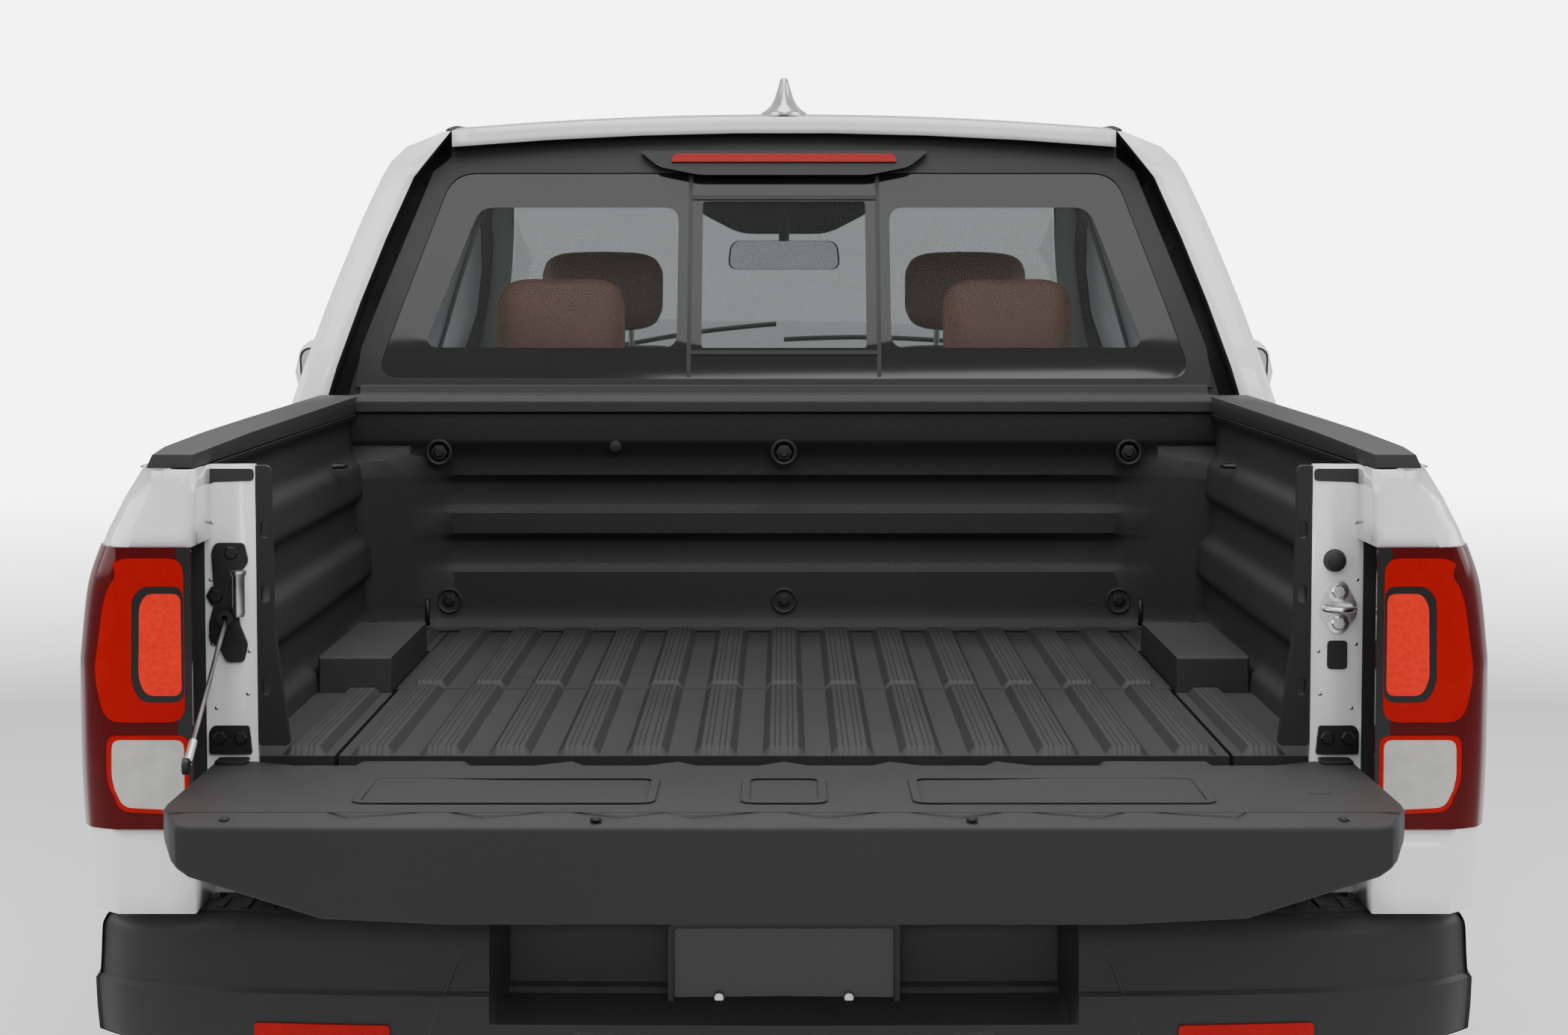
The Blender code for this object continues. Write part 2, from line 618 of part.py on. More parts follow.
def header_rail():
    """Rail across the top of the bed's front wall."""
    half = BED_HALF + WALL_LEAN
    low = RAIL_Z - 0.022 + 2 * GAP
    front = CAB_REAR - 0.018
    profile = [(BED_FRONT - 0.012, low + 0.004), (front, low), (front, RAIL_Z + 0.010),
               (BED_FRONT, RAIL_Z + 0.010), (BED_FRONT - 0.012, RAIL_Z)]
    return panel("x", profile, flat(half), flat(-half), step=10)


def jamb_post():
    """White post that the tailgate closes against, inboard of the tail light."""
    low = SILL_Z
    high = RAIL_Z - 0.024
    root = WALL_OUT + 0.005
    outline = [(JAMB_HALF, low), (root, low), (root, LAMP_LOW - GAP), (WALL_OUT, LAMP_LOW - GAP),
               (WALL_OUT, LAMP_HIGH + GAP), (root, LAMP_HIGH + GAP), (root, high), (JAMB_HALF, high)]
    return panel("y", outline, flat(BED_REAR - JAMB_DEEP), flat(BED_REAR - GAP), step=10)


def jamb_trim():
    """Black pillar trim at the end of the bed wall."""
    edge = JAMB_HALF - GAP
    outline = [(edge - 0.045, FLOOR_Z + 0.016), (edge, FLOOR_Z + 0.016), (edge, RAIL_Z - 0.03),
               (edge - 0.02, RAIL_Z - 0.03), (edge - 0.023, 0.98)]
    face = panel("y", outline, flat(BED_REAR - JAMB_DEEP + 0.004), flat(BED_REAR + 0.015), step=10)
    back = block((edge - 0.02, BED_REAR + GAP, FLOOR_Z + 0.030), (0.785, BED_REAR + 0.014, RAIL_Z - 0.035))
    return combined([face, back])


# ---------------------------------------------------------------- tailgate

GATE_BOW = curve((0.60, 1.0), (0.72, 0.93), (0.93, 0.40), (1.0, 0.0))


def gate_depth(x):
    """Depth of the open gate below its inner face: bowed outer skin."""
    return GATE_EDGE + (GATE_THICK - GATE_EDGE) * GATE_BOW(np.abs(x) / GATE_HALF)


def tailgate():
    front = BED_REAR - 0.030
    rear = front - GATE_HEIGHT
    top_half = GATE_HALF - 0.028
    outline = rounded([(-GATE_HALF, front), (-GATE_HALF, rear + 0.09), (-top_half, rear), (top_half, rear),
                       (GATE_HALF, rear + 0.09), (GATE_HALF, front)], 0.02, 2)
    fall = curve((rear, 0.012), (rear + 0.035, 0.0), (front - 0.018, 0.0), (front, 0.018))
    tuck = curve((rear, 0.003), (rear + 0.02, 0.0), (front - 0.06, 0.0), (front, 0.034))
    extra = [(x, y) for x in GATE_HALF * np.linspace(-0.93, 0.93, 11)
             for y in (rear + 0.035, rear + 0.25, front - 0.06, front - 0.018)]
    return panel("z", outline, lambda x, y: FLOOR_Z - fall(y),
                 lambda x, y: FLOOR_Z - gate_depth(x) + tuck(y) * gate_depth(x) / GATE_THICK,
                 step=0.18, extra=extra)


def gate_cable():
    """Stay from the left jamb to the tailgate, taut when the gate is down."""
    return rod([(-0.775, BED_REAR - 0.036, 1.078), (-0.780, -0.10, 0.842)], 0.005, 6)


# ---------------------------------------------------------------- cab

RAIL_STATIONS = (CAB_REAR + 0.262, 2.35, 2.60, 2.85, 3.05, 3.20, 3.30, 3.45, 3.60, 3.80, 4.00)


def cab_side_ring():
    """Side frame round the two doors: roof rail, windscreen pillar, rear pillar and rocker."""
    top = [(u, float(RAIL_TOP(u)) - 0.001) for u in RAIL_STATIONS]
    rear_edge = [(float(rear_edge_station(z)), z) for z in PILLAR_ROWS[PILLAR_ROWS > 1.1]]
    cuts = door_gap()
    outline = [(CAB_REAR, ROCKER_Z), (DOOR_FRONT, ROCKER_Z), (DOOR_FRONT, DOOR_Z - SHUT)]
    outline += cuts
    outline += [(DOOR_FRONT + 0.010, 1.135), (4.00, 1.150)] + top[::-1] + rear_edge[::-1]
    steps = [(rear_edge_station(z) + d, z) for z in PILLAR_ROWS for d in (0.06, 0.125, 0.17)]
    ring = panel("x", outline, cab_side, ring_inner, step=0.16, extra=steps)
    return combined([ring, b_pillar()])


def rear_edge_station(z):
    """Station of the side frame's rear edge, which leans with the rear window."""
    return CAB_REAR + 0.023 + REAR_LEAN(z)


PILLAR_ROWS = np.linspace(0.45, 1.66, 11)
RING_THICK = curve((0.125, REAR_PILLAR), (0.17, SIDE_THICK))


def ring_inner(u, z):
    """Inner face of the side frame, thin at its rear edge where the cab's back wall meets it."""
    thick = RING_THICK(u - rear_edge_station(z))
    return np.maximum(cab_side(u, z) - thick, SEAM(u) - 0.008)


FRAME_TOP = 0.088         # door frame's top edge below the roof rail's


def door_top(u):
    return float(RAIL_TOP(u)) - FRAME_TOP


def door_gap():
    """Edge of the door opening, from the front lower corner round to the windscreen pillar."""
    rear = DOOR_REAR - SWING
    lean = [(DOOR_REAR + 0.065 - SWING, 1.24), (DOOR_REAR + 0.19 - SWING, 1.52)]
    over = [(u, door_top(u) + SHUT) for u in (2.34, 2.55, 2.80, 3.00, 3.15, 3.30, 3.45, 3.60, 3.75)]
    return [(rear + 0.04, DOOR_Z - SHUT), (rear, DOOR_Z + 0.05), (rear, 1.08)] + lean + over \
        + [(DOOR_FRONT + 0.002, door_top(DOOR_FRONT) + SHUT + 0.004)]


def door_outline(front):
    if front:
        over = [(u, door_top(u)) for u in (3.75, 3.60, 3.45, 3.30, 3.15, 3.00)]
        return [(DOOR_SPLIT + SHUT, DOOR_Z), (DOOR_FRONT - SHUT, DOOR_Z),
                (DOOR_FRONT - SHUT, door_top(DOOR_FRONT))] + over \
            + [(DOOR_SPLIT + SHUT, door_top(DOOR_SPLIT + SHUT))]
    over = [(u, door_top(u)) for u in (2.80, 2.55, 2.36)]
    return [(DOOR_REAR + 0.04, DOOR_Z), (DOOR_SPLIT - SHUT, DOOR_Z),
            (DOOR_SPLIT - SHUT, door_top(DOOR_SPLIT - SHUT))] + over \
        + [(DOOR_REAR + 0.19, 1.52), (DOOR_REAR + 0.065, 1.24), (DOOR_REAR, 1.08),
           (DOOR_REAR, DOOR_Z + 0.05)]


def window_outline(front):
    """Opening in a door for its glass."""
    frame = 0.055
    if front:
        over = [(u, door_top(u) - frame) for u in (3.60, 3.45, 3.30, 3.15, DOOR_SPLIT + 0.07)]
        corners = [(DOOR_SPLIT + 0.07, 1.195), (3.76, 1.160)] + over
    else:
        over = [(u, door_top(u) - frame) for u in (DOOR_SPLIT - 0.07, 2.60, 2.43)]
        corners = [(DOOR_REAR + 0.16, 1.245), (DOOR_SPLIT - 0.07, 1.205)] + over
    return rounded(corners, 0.03, 2)


def door(front):
    return panel("x", door_outline(front), cab_side, lambda u, z: cab_side(u, z) - DOOR_THICK,
                 holes=[window_outline(front)], step=0.16)


def door_glass(front):
    hole = window_outline(front)
    centre = hole.mean(axis=0)
    outline = centre + (hole - centre) * 0.997
    return panel("x", outline, lambda u, z: cab_side(u, z) - 0.022,
                 lambda u, z: cab_side(u, z) - 0.022 - GLASS_THICK, step=0.2)


def mirror():
    """Door mirror on its arm."""
    housing = rounded([(0.985, 1.135), (1.155, 1.150), (1.160, 1.290), (1.000, 1.300)], 0.05, 3)
    shell = panel("y", housing, lambda x, z: 3.640 + 0.0 * x, lambda x, z: 3.760 - 0.9 * (x - 1.07) ** 2,
                  step=0.10)
    arm = panel("y", [(0.954, 1.105), (1.05, 1.13), (1.05, 1.175), (0.954, 1.150)], flat(3.68),
                flat(3.73), step=10)
    return combined([shell, arm])


def b_pillar():
    """Post between the doors, inboard of them."""
    outline = [(DOOR_SPLIT - 0.05, ROCKER_Z + 0.03), (DOOR_SPLIT + 0.05, ROCKER_Z + 0.03),
               (DOOR_SPLIT + 0.04, door_top(DOOR_SPLIT) + 0.03),
               (DOOR_SPLIT - 0.04, door_top(DOOR_SPLIT) + 0.03)]
    return panel("x", outline, lambda u, z: cab_side(u, z) - DOOR_THICK - SHUT,
                 lambda u, z: cab_side(u, z) - SIDE_THICK - 0.005, step=0.14)


def cab_back():
    """Rear wall of the cab, leaning forward round the rear window."""
    right = [(float(np.min(cab_side(rear_edge_station(z) + np.array([0.0, 0.11]), z)))
              - REAR_PILLAR - 0.032, z) for z in PILLAR_ROWS]
    top = [(SEAM_HALF - 0.038, 1.690)]
    outline = right + top + [(-x, z) for x, z in (right + top)[::-1]]
    hole = rear_window_outline(0.0)
    return panel("y", outline, rear_screen, lambda x, z: rear_screen(x, z) + 0.055, holes=[hole], step=0.3)


WINDOW_LOW = 1.285
WINDOW_HIGH = 1.665


def rear_window_outline(gap):
    low = 0.775 - gap
    high = 0.640 - gap
    return rounded([(-low, WINDOW_LOW + gap), (low, WINDOW_LOW + gap), (high, WINDOW_HIGH - gap),
                    (-high, WINDOW_HIGH - gap)], 0.03, 2)


def rear_window():
    outline = rear_window_outline(GAP)
    return panel("y", outline, lambda x, z: rear_screen(x, z) + 0.002,
                 lambda x, z: rear_screen(x, z) + 0.002 + GLASS_THICK, step=0.3)


SEAM_FIT = 0.0110         # roof and windscreen edges inboard of the seam


def roof():
    side = [(float(SEAM(u)) - SEAM_FIT, u) for u in RAIL_STATIONS if u < 3.25]
    front = [(x, 3.262 + 0.125 * (1 - (x / 0.64) ** 2)) for x in np.linspace(0.626, -0.626, 9)]
    outline = side + front + [(-x, u) for x, u in side[::-1]]
    skin = panel("z", outline, roof_top, lambda x, u: roof_top(x, u) - ROOF_THICK, step=0.2)
    return combined([skin, antenna()])


def windscreen():
    side = [(float(SEAM(u)) - SEAM_FIT, u) for u in RAIL_STATIONS if 3.25 < u < 3.95]
    high = [(x, 3.285 + 0.125 * (1 - (x / 0.64) ** 2)) for x in np.linspace(-0.618, 0.618, 9)]
    low = [(x, 3.985 + 0.125 * (1 - (x / 0.72) ** 2)) for x in np.linspace(0.708, -0.708, 9)]
    outline = high + side[1:] + low + [(-x, u) for x, u in side[1:][::-1]]
    return panel("z", outline, lambda x, u: roof_top(x, u) - 0.002,
                 lambda x, u: roof_top(x, u) - 0.002 - GLASS_THICK * 1.4, step=0.2)


def cab_floor():
    """Floor pan with its tunnel, between the rockers."""
    half = float(cab_side(3.0, ROCKER_Z)) - SIDE_THICK - 0.004
    low = 0.345
    high = low + 0.030
    tunnel = 0.135
    profile = [(-half, low), (-tunnel + 0.02, low), (-tunnel + 0.04, 0.470), (tunnel - 0.04, 0.470),
               (tunnel - 0.02, low), (half, low), (half, high), (tunnel, high), (tunnel - 0.02, 0.500),
               (-tunnel + 0.02, 0.500), (-tunnel, high), (-half, high)]
    pan = slab(profile, CAB_REAR + 0.10, DOOR_FRONT + 0.052)
    return combined([pan, firewall(), cowl()])


def firewall():
    half = 0.755
    wall = block((-half, DOOR_FRONT + 0.030, 0.36), (half, DOOR_FRONT + 0.055, 1.00))
    box = block((-0.68, DOOR_FRONT + 0.0305, 0.985), (0.68, DOOR_FRONT + 0.160, 1.069))
    return combined([wall, box])


def cowl():
    """Black tray below the windscreen."""
    rear = [(x, 3.975 + 0.12 * (1 - (x / 0.72) ** 2)) for x in np.linspace(-0.700, 0.700, 7)]
    front = [(x, 4.10 + 0.12 * (1 - (x / 0.72) ** 2)) for x in np.linspace(0.700, -0.700, 7)]
    return panel("z", rear[::-1] + front[::-1], lambda x, u: 1.080 + 0.018 * (1 - (x / 0.72) ** 2),
                 flat(1.064), step=10)


def dashboard():
    profile = [(3.47, 0.80), (3.55, 0.74), (3.885, 0.74), (3.885, 1.04), (3.72, 1.095), (3.52, 1.05),
               (3.46, 0.98)]
    half = 0.740
    dash = panel("x", profile, flat(half), flat(-half), step=10)
    start, stop = (wheel_line(t) for t in (-0.052, -0.26))
    return combined([dash, rod([start, stop], 0.030)])


WHEEL_CENTRE = (-SEAT_X, 3.30, 0.985)
WHEEL_TILT = math.radians(25)


def wheel_line(t):
    """A point on the steering column's line, t towards the driver from the wheel's centre."""
    return (WHEEL_CENTRE[0], WHEEL_CENTRE[1] - t * math.cos(WHEEL_TILT),
            WHEEL_CENTRE[2] + t * math.sin(WHEEL_TILT))


def seat(front):
    """Cushion, back and headrest as one plain form."""
    u = 2.62 if front else 2.10
    half = SEAT_WIDTH / 2 if front else 0.62
    lift = 0.0 if front else 0.02
    base = [(u, 0.40), (u + 0.50, 0.40), (u + 0.55, 0.62 + lift), (u + 0.50, 0.70 + lift), (u + 0.10, 0.64 + lift)]
    back = [(u - 0.02, 0.50), (u + 0.13, 0.60), (u + 0.02, 1.33), (u - 0.09, 1.33)]
    head = [(u - 0.075, 1.30), (u + 0.015, 1.30), (u + 0.01, 1.52), (u - 0.07, 1.52)]
    if not front:
        base = [(u, 0.51), (u + 0.44, 0.51), (u + 0.48, 0.64), (u + 0.42, 0.69), (u + 0.06, 0.65)]
        back = [(u - 0.06, 0.52), (u + 0.08, 0.60), (u + 0.085, 1.28), (u + 0.015, 1.28)]
        head = [(u + 0.035, 1.26), (u + 0.10, 1.26), (u + 0.115, 1.47), (u + 0.07, 1.47)]
    parts = [panel("x", base, flat(half), flat(-half), step=10),
             panel("x", back, flat(half - 0.004), flat(-half + 0.004), step=10)]
    for x in ((0.0,) if front else (-SEAT_X - 0.06, SEAT_X + 0.06)):
        parts.append(panel("x", head, flat(x + 0.13), flat(x - 0.13), step=10))
    return combined(parts)


def front_seat():
    bm = seat(True)
    bmesh.ops.translate(bm, verts=bm.verts, vec=(SEAT_X, 0, 0))
    return bm


def steering_wheel():
    """Rim, spokes and boss, square to the column."""
    rim = turned([(0.012, 0.178), (0.0, 0.186), (-0.012, 0.178), (0.0, 0.170)], (0, 0, 0), 20)
    bar = block((-0.008, -0.174, -0.018), (0.008, 0.174, 0.018))
    post = block((-0.0081, -0.018, -0.174), (0.0081, 0.018, 0.0))
    boss = block((-0.045, -0.06, -0.05), (0.012, 0.06, 0.05))
    return combined([rim, bar, post, boss])


# ---------------------------------------------------------------- front end

def fender():
    low = 0.36
    rear = DOOR_FRONT
    rear_turn = 180 - arch_start(low + 0.045)
    front_turn = arch_start(0.700)
    outline = [(rear, low), (rear + 0.050, low)]
    outline += [p for p in arch_edge(FRONT_AXLE, rear_turn, front_turn)]
    outline += [(4.86 + NOSE, 0.700), (4.905 + NOSE, 0.80), (4.985 + NOSE, 0.975)]
    outline += [(u, float(HOOD_EDGE(u)) - 0.0005) for u in HOOD_STATIONS[::-1]]
    outline += [(rear, float(HOOD_EDGE(rear)) - 0.0005)]
    ring = arc((FRONT_AXLE, TYRE_RADIUS), ARCH_RADIUS + 0.06, rear_turn, front_turn, 10)
    rows = [(u, float(HOOD_EDGE(u) - d * ROUND_OVER(u))) for u in np.linspace(3.93, 4.95 + NOSE, 10)
            for d in (0.06, 0.25, 0.55, 1.0)]
    return panel("x", outline, fender_side, lambda u, z: fender_inner(u, z), extra=ring + rows)


FENDER_LIP = 0.004        # fender's edge beside the hood
HOOD_STATIONS = (3.90, 4.05, 4.25, 4.55 + NOSE, 4.80 + NOSE, 4.99 + NOSE)


def fender_inner(u, z):
    return np.maximum(fender_side(u, z) - 0.085, HOOD_HALF(u) - FENDER_LIP)


def front_liner():
    """Liner over a front wheel, open for the wheel at full lock."""
    half = 0.500
    rear = FRONT_AXLE - 0.445
    front = FRONT_AXLE + 0.445
    outside = [(rear, 0.46), (front, 0.46), (front, 0.70), (FRONT_AXLE + 0.30, 0.845),
               (FRONT_AXLE - 0.30, 0.845), (rear, 0.70)]
    body = panel("x", outside, flat(0.84), flat(half), step=10)
    wheel = panel("x", arc((FRONT_AXLE, TYRE_RADIUS), ARCH_RADIUS, 0, 360, 24)[:-1], flat(1.0),
                  flat(half + 0.012), step=10)
    return combined([body], [wheel])


def hood():
    """Hood from the cowl to the nose, with its side edges beside the fenders."""
    right = [(float(HOOD_HALF(u)) - FENDER_LIP - SHUT, u) for u in HOOD_STATIONS[1:]]
    nose = [(x, nose_station(x) - 0.075) for x in np.linspace(0.66, -0.66, 9)]
    rear = [(x, 4.035 + 0.12 * (1 - (x / 0.72) ** 2)) for x in np.linspace(-0.70, 0.70, 7)]
    outline = rear + right + nose + [(-x, u) for x, u in right[::-1]]
    return panel("z", outline, hood_top, lambda x, u: hood_top(x, u) - 0.030, step=0.2)


def nose_curve(turn):
    """Plan outline of the nose: turn 0 is the middle, 90 degrees the side."""
    a = np.radians(turn)
    x = (SIDE_HALF - 0.014) * np.sin(a) ** 0.55
    u = 4.70 + NOSE + 0.635 * np.maximum(np.cos(a), 0.0) ** 0.45
    return x, u


def nose_station(x):
    turn = np.degrees(np.arcsin(min(1.0, (abs(x) / (SIDE_HALF - 0.014)) ** (1 / 0.55))))
    return float(nose_curve(turn)[1])


def wrap(low, high, start, stop, inset, thick, columns, rows, lower_stop=None):
    """Wall that follows the nose's plan outline between two turns and two heights."""
    bm = bmesh.new()
    layers = []
    lower_stop = stop if lower_stop is None else lower_stop
    for depth in (0.0, thick):
        layer = []
        for z in np.linspace(low, high, rows):
            end = lower_stop + (stop - lower_stop) * (z - low) / (high - low)
            line = []
            for turn in np.linspace(start, end, columns):
                x, u = nose_curve(abs(turn))
                side = math.copysign(1.0, turn)
                pull = inset(z) + depth
                shrink = 1 - pull / SIDE_HALF
                line.append(bm.verts.new((side * x * shrink, u - pull, z)))
            layer.append(line)
        layers.append(layer)
    outer, inner = layers
    for j in range(rows - 1):
        for k in range(columns - 1):
            bm.faces.new((outer[j][k], outer[j][k + 1], outer[j + 1][k + 1], outer[j + 1][k]))
            bm.faces.new((inner[j][k], inner[j + 1][k], inner[j + 1][k + 1], inner[j][k + 1]))
    for k in range(columns - 1):
        for j in (0, rows - 1):
            bm.faces.new((outer[j][k], outer[j][k + 1], inner[j][k + 1], inner[j][k]))
    for j in range(rows - 1):
        for k in (0, columns - 1):
            bm.faces.new((outer[j][k], outer[j + 1][k], inner[j + 1][k], inner[j][k]))
    bmesh.ops.recalc_face_normals(bm, faces=bm.faces)
    return bm


BUMPER_INSET = curve((0.28, 0.060), (0.44, 0.008), (0.52, 0.0), (0.62, 0.0), (0.70, 0.030))
GRILLE_INSET = curve((0.70, 0.035), (0.90, 0.055), (0.97, 0.085))


def front_bumper():
    return wrap(0.28, 0.697, -84.5, 84.5, BUMPER_INSET, 0.070, 27, 6)


def grille():
    return wrap(0.702, 0.932, -19.5, 19.5, GRILLE_INSET, 0.060, 9, 4)


def headlight():
    return wrap(0.702, 0.912, 20.2, 68.0, GRILLE_INSET, 0.050, 11, 4, 80.0)


def front_structure():
    """Wheel liners, the rails ahead of them and the radiator between the rails."""
    parts = [front_liner(), mirrored(front_liner()),
             block((-0.54, 4.98 + NOSE, 0.42), (0.54, 5.04 + NOSE, 0.90))]
    for x in (-0.55, 0.55):
        parts.append(block((x - 0.04, FRONT_AXLE + 0.43, 0.50), (x + 0.04, 5.03 + NOSE, 0.60)))
    return combined(parts)


def engine():
    return block((-0.34, 4.22, 0.44), (0.34, 4.84, 0.98))


# ---------------------------------------------------------------- rear bumper

BUMPER_FRONT = REAR_AXLE - ARCH_RADIUS - SHUT        # side returns end at the wheel arch
TAIL_PLAN = curve((0.0, 0.0), (0.50, 0.012), (0.80, 0.045), (0.90, 0.085), (0.945, 0.135))


def rear_bumper():
    """Bumper with side returns and a recess for the plate."""
    half = SIDE_HALF - 0.026
    top = SILL_Z - 0.004
    back = [(x, float(TAIL_PLAN(abs(x)))) for x in np.linspace(-half, half, 17)]
    side = [(half + 0.012, 0.30), (half + 0.018, BUMPER_FRONT), (half - 0.045, BUMPER_FRONT),
            (half - 0.055, 0.26), (0.84, 0.20)]
    outline = back + side + [(-x, u) for x, u in side[::-1]]
    body = panel("z", outline, flat(top), flat(0.335), step=0.3)
    recess = panel("x", [(-0.1, 0.475), (0.055, 0.475), (0.075, 0.56), (0.075, top + 0.1), (-0.1, top + 0.1)],
                   flat(0.385), flat(-0.385), step=10)
    lower = panel("x", [(-0.1, 0.32), (0.05, 0.32), (0.0, 0.425), (-0.1, 0.425)], flat(1.2), flat(-1.2), step=10)
    return combined([body], [recess, lower])


# ---------------------------------------------------------------- underbody and wheels

def rear_rails():
    """Unibody rails and cross-members under the bed."""
    top = UNDER - 0.024
    parts = []
    for x in (-0.62, 0.62):
        parts.append(block((x - 0.04, 0.23, top - 0.11), (x + 0.04, CAB_REAR + 0.020, top)))
    for u in (0.215, 1.02, 1.55, CAB_REAR - 0.04):
        parts.append(block((-0.66, u, top - 0.1095), (0.66, u + 0.05, top - 0.001)))
    return combined(parts)


HUB_RADIUS = 0.019
HUB_REACH = 0.135         # from the upright's middle out through the wheel's bore


def rear_axle():
    """Subframe, final drive, half-shafts and the uprights that carry the rear hubs."""
    z = TYRE_RADIUS
    inner = TRACK / 2 - 0.055
    hub = inner - 0.03 + HUB_REACH
    parts = [rod([(-inner, REAR_AXLE, z), (inner, REAR_AXLE, z)], 0.026, 10),
             rod([(-hub, REAR_AXLE, z), (hub, REAR_AXLE, z)], HUB_RADIUS, 12),
             block((-0.12, REAR_AXLE - 0.13, z - 0.10), (0.14, REAR_AXLE + 0.15, z + 0.10)),
             block((-0.48, REAR_AXLE + 0.13, z - 0.05), (0.48, REAR_AXLE + 0.20, z + 0.06))]
    for s in (-1, 1):
        parts.append(block((s * (inner - 0.03) - 0.03, REAR_AXLE - 0.06, z - 0.11),
                           (s * (inner - 0.03) + 0.03, REAR_AXLE + 0.06, z + 0.14)))
        parts.append(rod([(s * 0.40, REAR_AXLE + 0.16, z), (s * (inner - 0.03), REAR_AXLE + 0.02, z - 0.08)], 0.022))
        parts.append(rod([(s * 0.58, REAR_AXLE + 0.09, z - 0.02), (s * 0.60, REAR_AXLE + 0.03, 0.628)], 0.030))
        parts.append(block((s * 0.65 - 0.10, REAR_AXLE + 0.035, z - 0.045), (s * 0.65 + 0.10, REAR_AXLE + 0.145, z + 0.0)))
    return combined(parts)


def front_subframe():
    """Engine cradle with the lower arms out to the front uprights."""
    parts = [block((-0.42, 4.05, 0.24), (0.42, 4.13, 0.31)), block((-0.42, 4.78, 0.24), (0.42, 4.86, 0.31))]
    for s in (-1, 1):
        parts.append(block((s * 0.40 - 0.035, 4.055, 0.2405), (s * 0.40 + 0.035, 4.855, 0.3095)))
        for u in (FRONT_AXLE - 0.18, FRONT_AXLE + 0.12):
            parts.append(rod([(s * 0.40, u, 0.275), (s * 0.750, FRONT_AXLE, 0.258)], 0.020))
    return combined(parts)


def upright():
    """Front knuckle: kingpin post, hub carrier and stub."""
    z = TYRE_RADIUS
    x = TRACK / 2 - 0.085
    parts = [block((x - 0.03, FRONT_AXLE - 0.05, z - 0.085), (x + 0.03, FRONT_AXLE + 0.05, z + 0.115)),
             block((x - 0.045, FRONT_AXLE - 0.03, z + 0.05), (x - 0.005, FRONT_AXLE + 0.03, z + 0.20)),
             rod([(x, FRONT_AXLE, z), (x + 0.06, FRONT_AXLE, z)], 0.045, 12),
             rod([(x, FRONT_AXLE, z), (x + HUB_REACH, FRONT_AXLE, z)], HUB_RADIUS, 12)]
    return combined(parts)


def tyre(axle):
    half = TYRE_WIDTH / 2
    profile = [(-half * 0.55, RIM_RADIUS), (-half, RIM_RADIUS + 0.05), (-half * 0.98, TYRE_RADIUS - 0.040),
               (-half * 0.80, TYRE_RADIUS), (half * 0.80, TYRE_RADIUS), (half * 0.98, TYRE_RADIUS - 0.040),
               (half, RIM_RADIUS + 0.05), (half * 0.55, RIM_RADIUS)]
    stand = TYRE_RADIUS / math.cos(math.pi / WHEEL_SIDES)
    profile = [(x, r * stand / TYRE_RADIUS) for x, r in profile]
    return turned(profile, (TRACK / 2, axle, TYRE_RADIUS))


def rim(axle):
    """Barrel with a dished face and a hub."""
    half = TYRE_WIDTH / 2
    out = RIM_RADIUS - GAP
    profile = [(-half * 0.90, out), (-half * 0.90, out - 0.012), (half * 0.25, out - 0.030),
               (half * 0.25, 0.070), (0.012, 0.060), (0.012, 0.025), (half * 0.50, 0.025),
               (half * 0.62, 0.060), (half * 0.70, out - 0.012), (half * 0.90, out)]
    return turned(profile, (TRACK / 2, axle, TYRE_RADIUS))


def exhaust():
    """Pipe along the tunnel, silencer and tail pipe."""
    pipe = rod([(0.03, 4.03, 0.30), (0.0, 3.80, 0.30), (0.0, 1.98, 0.30), (0.28, 1.62, TYRE_RADIUS - 0.0755),
                (0.30, 0.80, TYRE_RADIUS - 0.0955), (0.36, 0.60, 0.36), (0.55, 0.50, 0.375), (0.60, 0.22, 0.345)], 0.030, 8)
    silencer = rod([(0.0, 2.30, 0.285), (0.0, 2.75, 0.285)], 0.075, 12)
    return combined([pipe, silencer])


def antenna():
    """Roof fin."""
    u = CAB_REAR + 0.36
    z = float(roof_top(0.0, u))
    outline = [(u - 0.075, z - 0.01), (u + 0.075, z - 0.01), (u + 0.02, z + 0.030), (u - 0.055, z + 0.062), (u - 0.07, z + 0.055)]
    return panel("x", outline, flat(0.018), flat(-0.018), step=10)


# ---------------------------------------------------------------- the whole truck

def clear_scene():
    for obj in list(bpy.data.objects):
        bpy.data.objects.remove(obj, do_unlink=True)


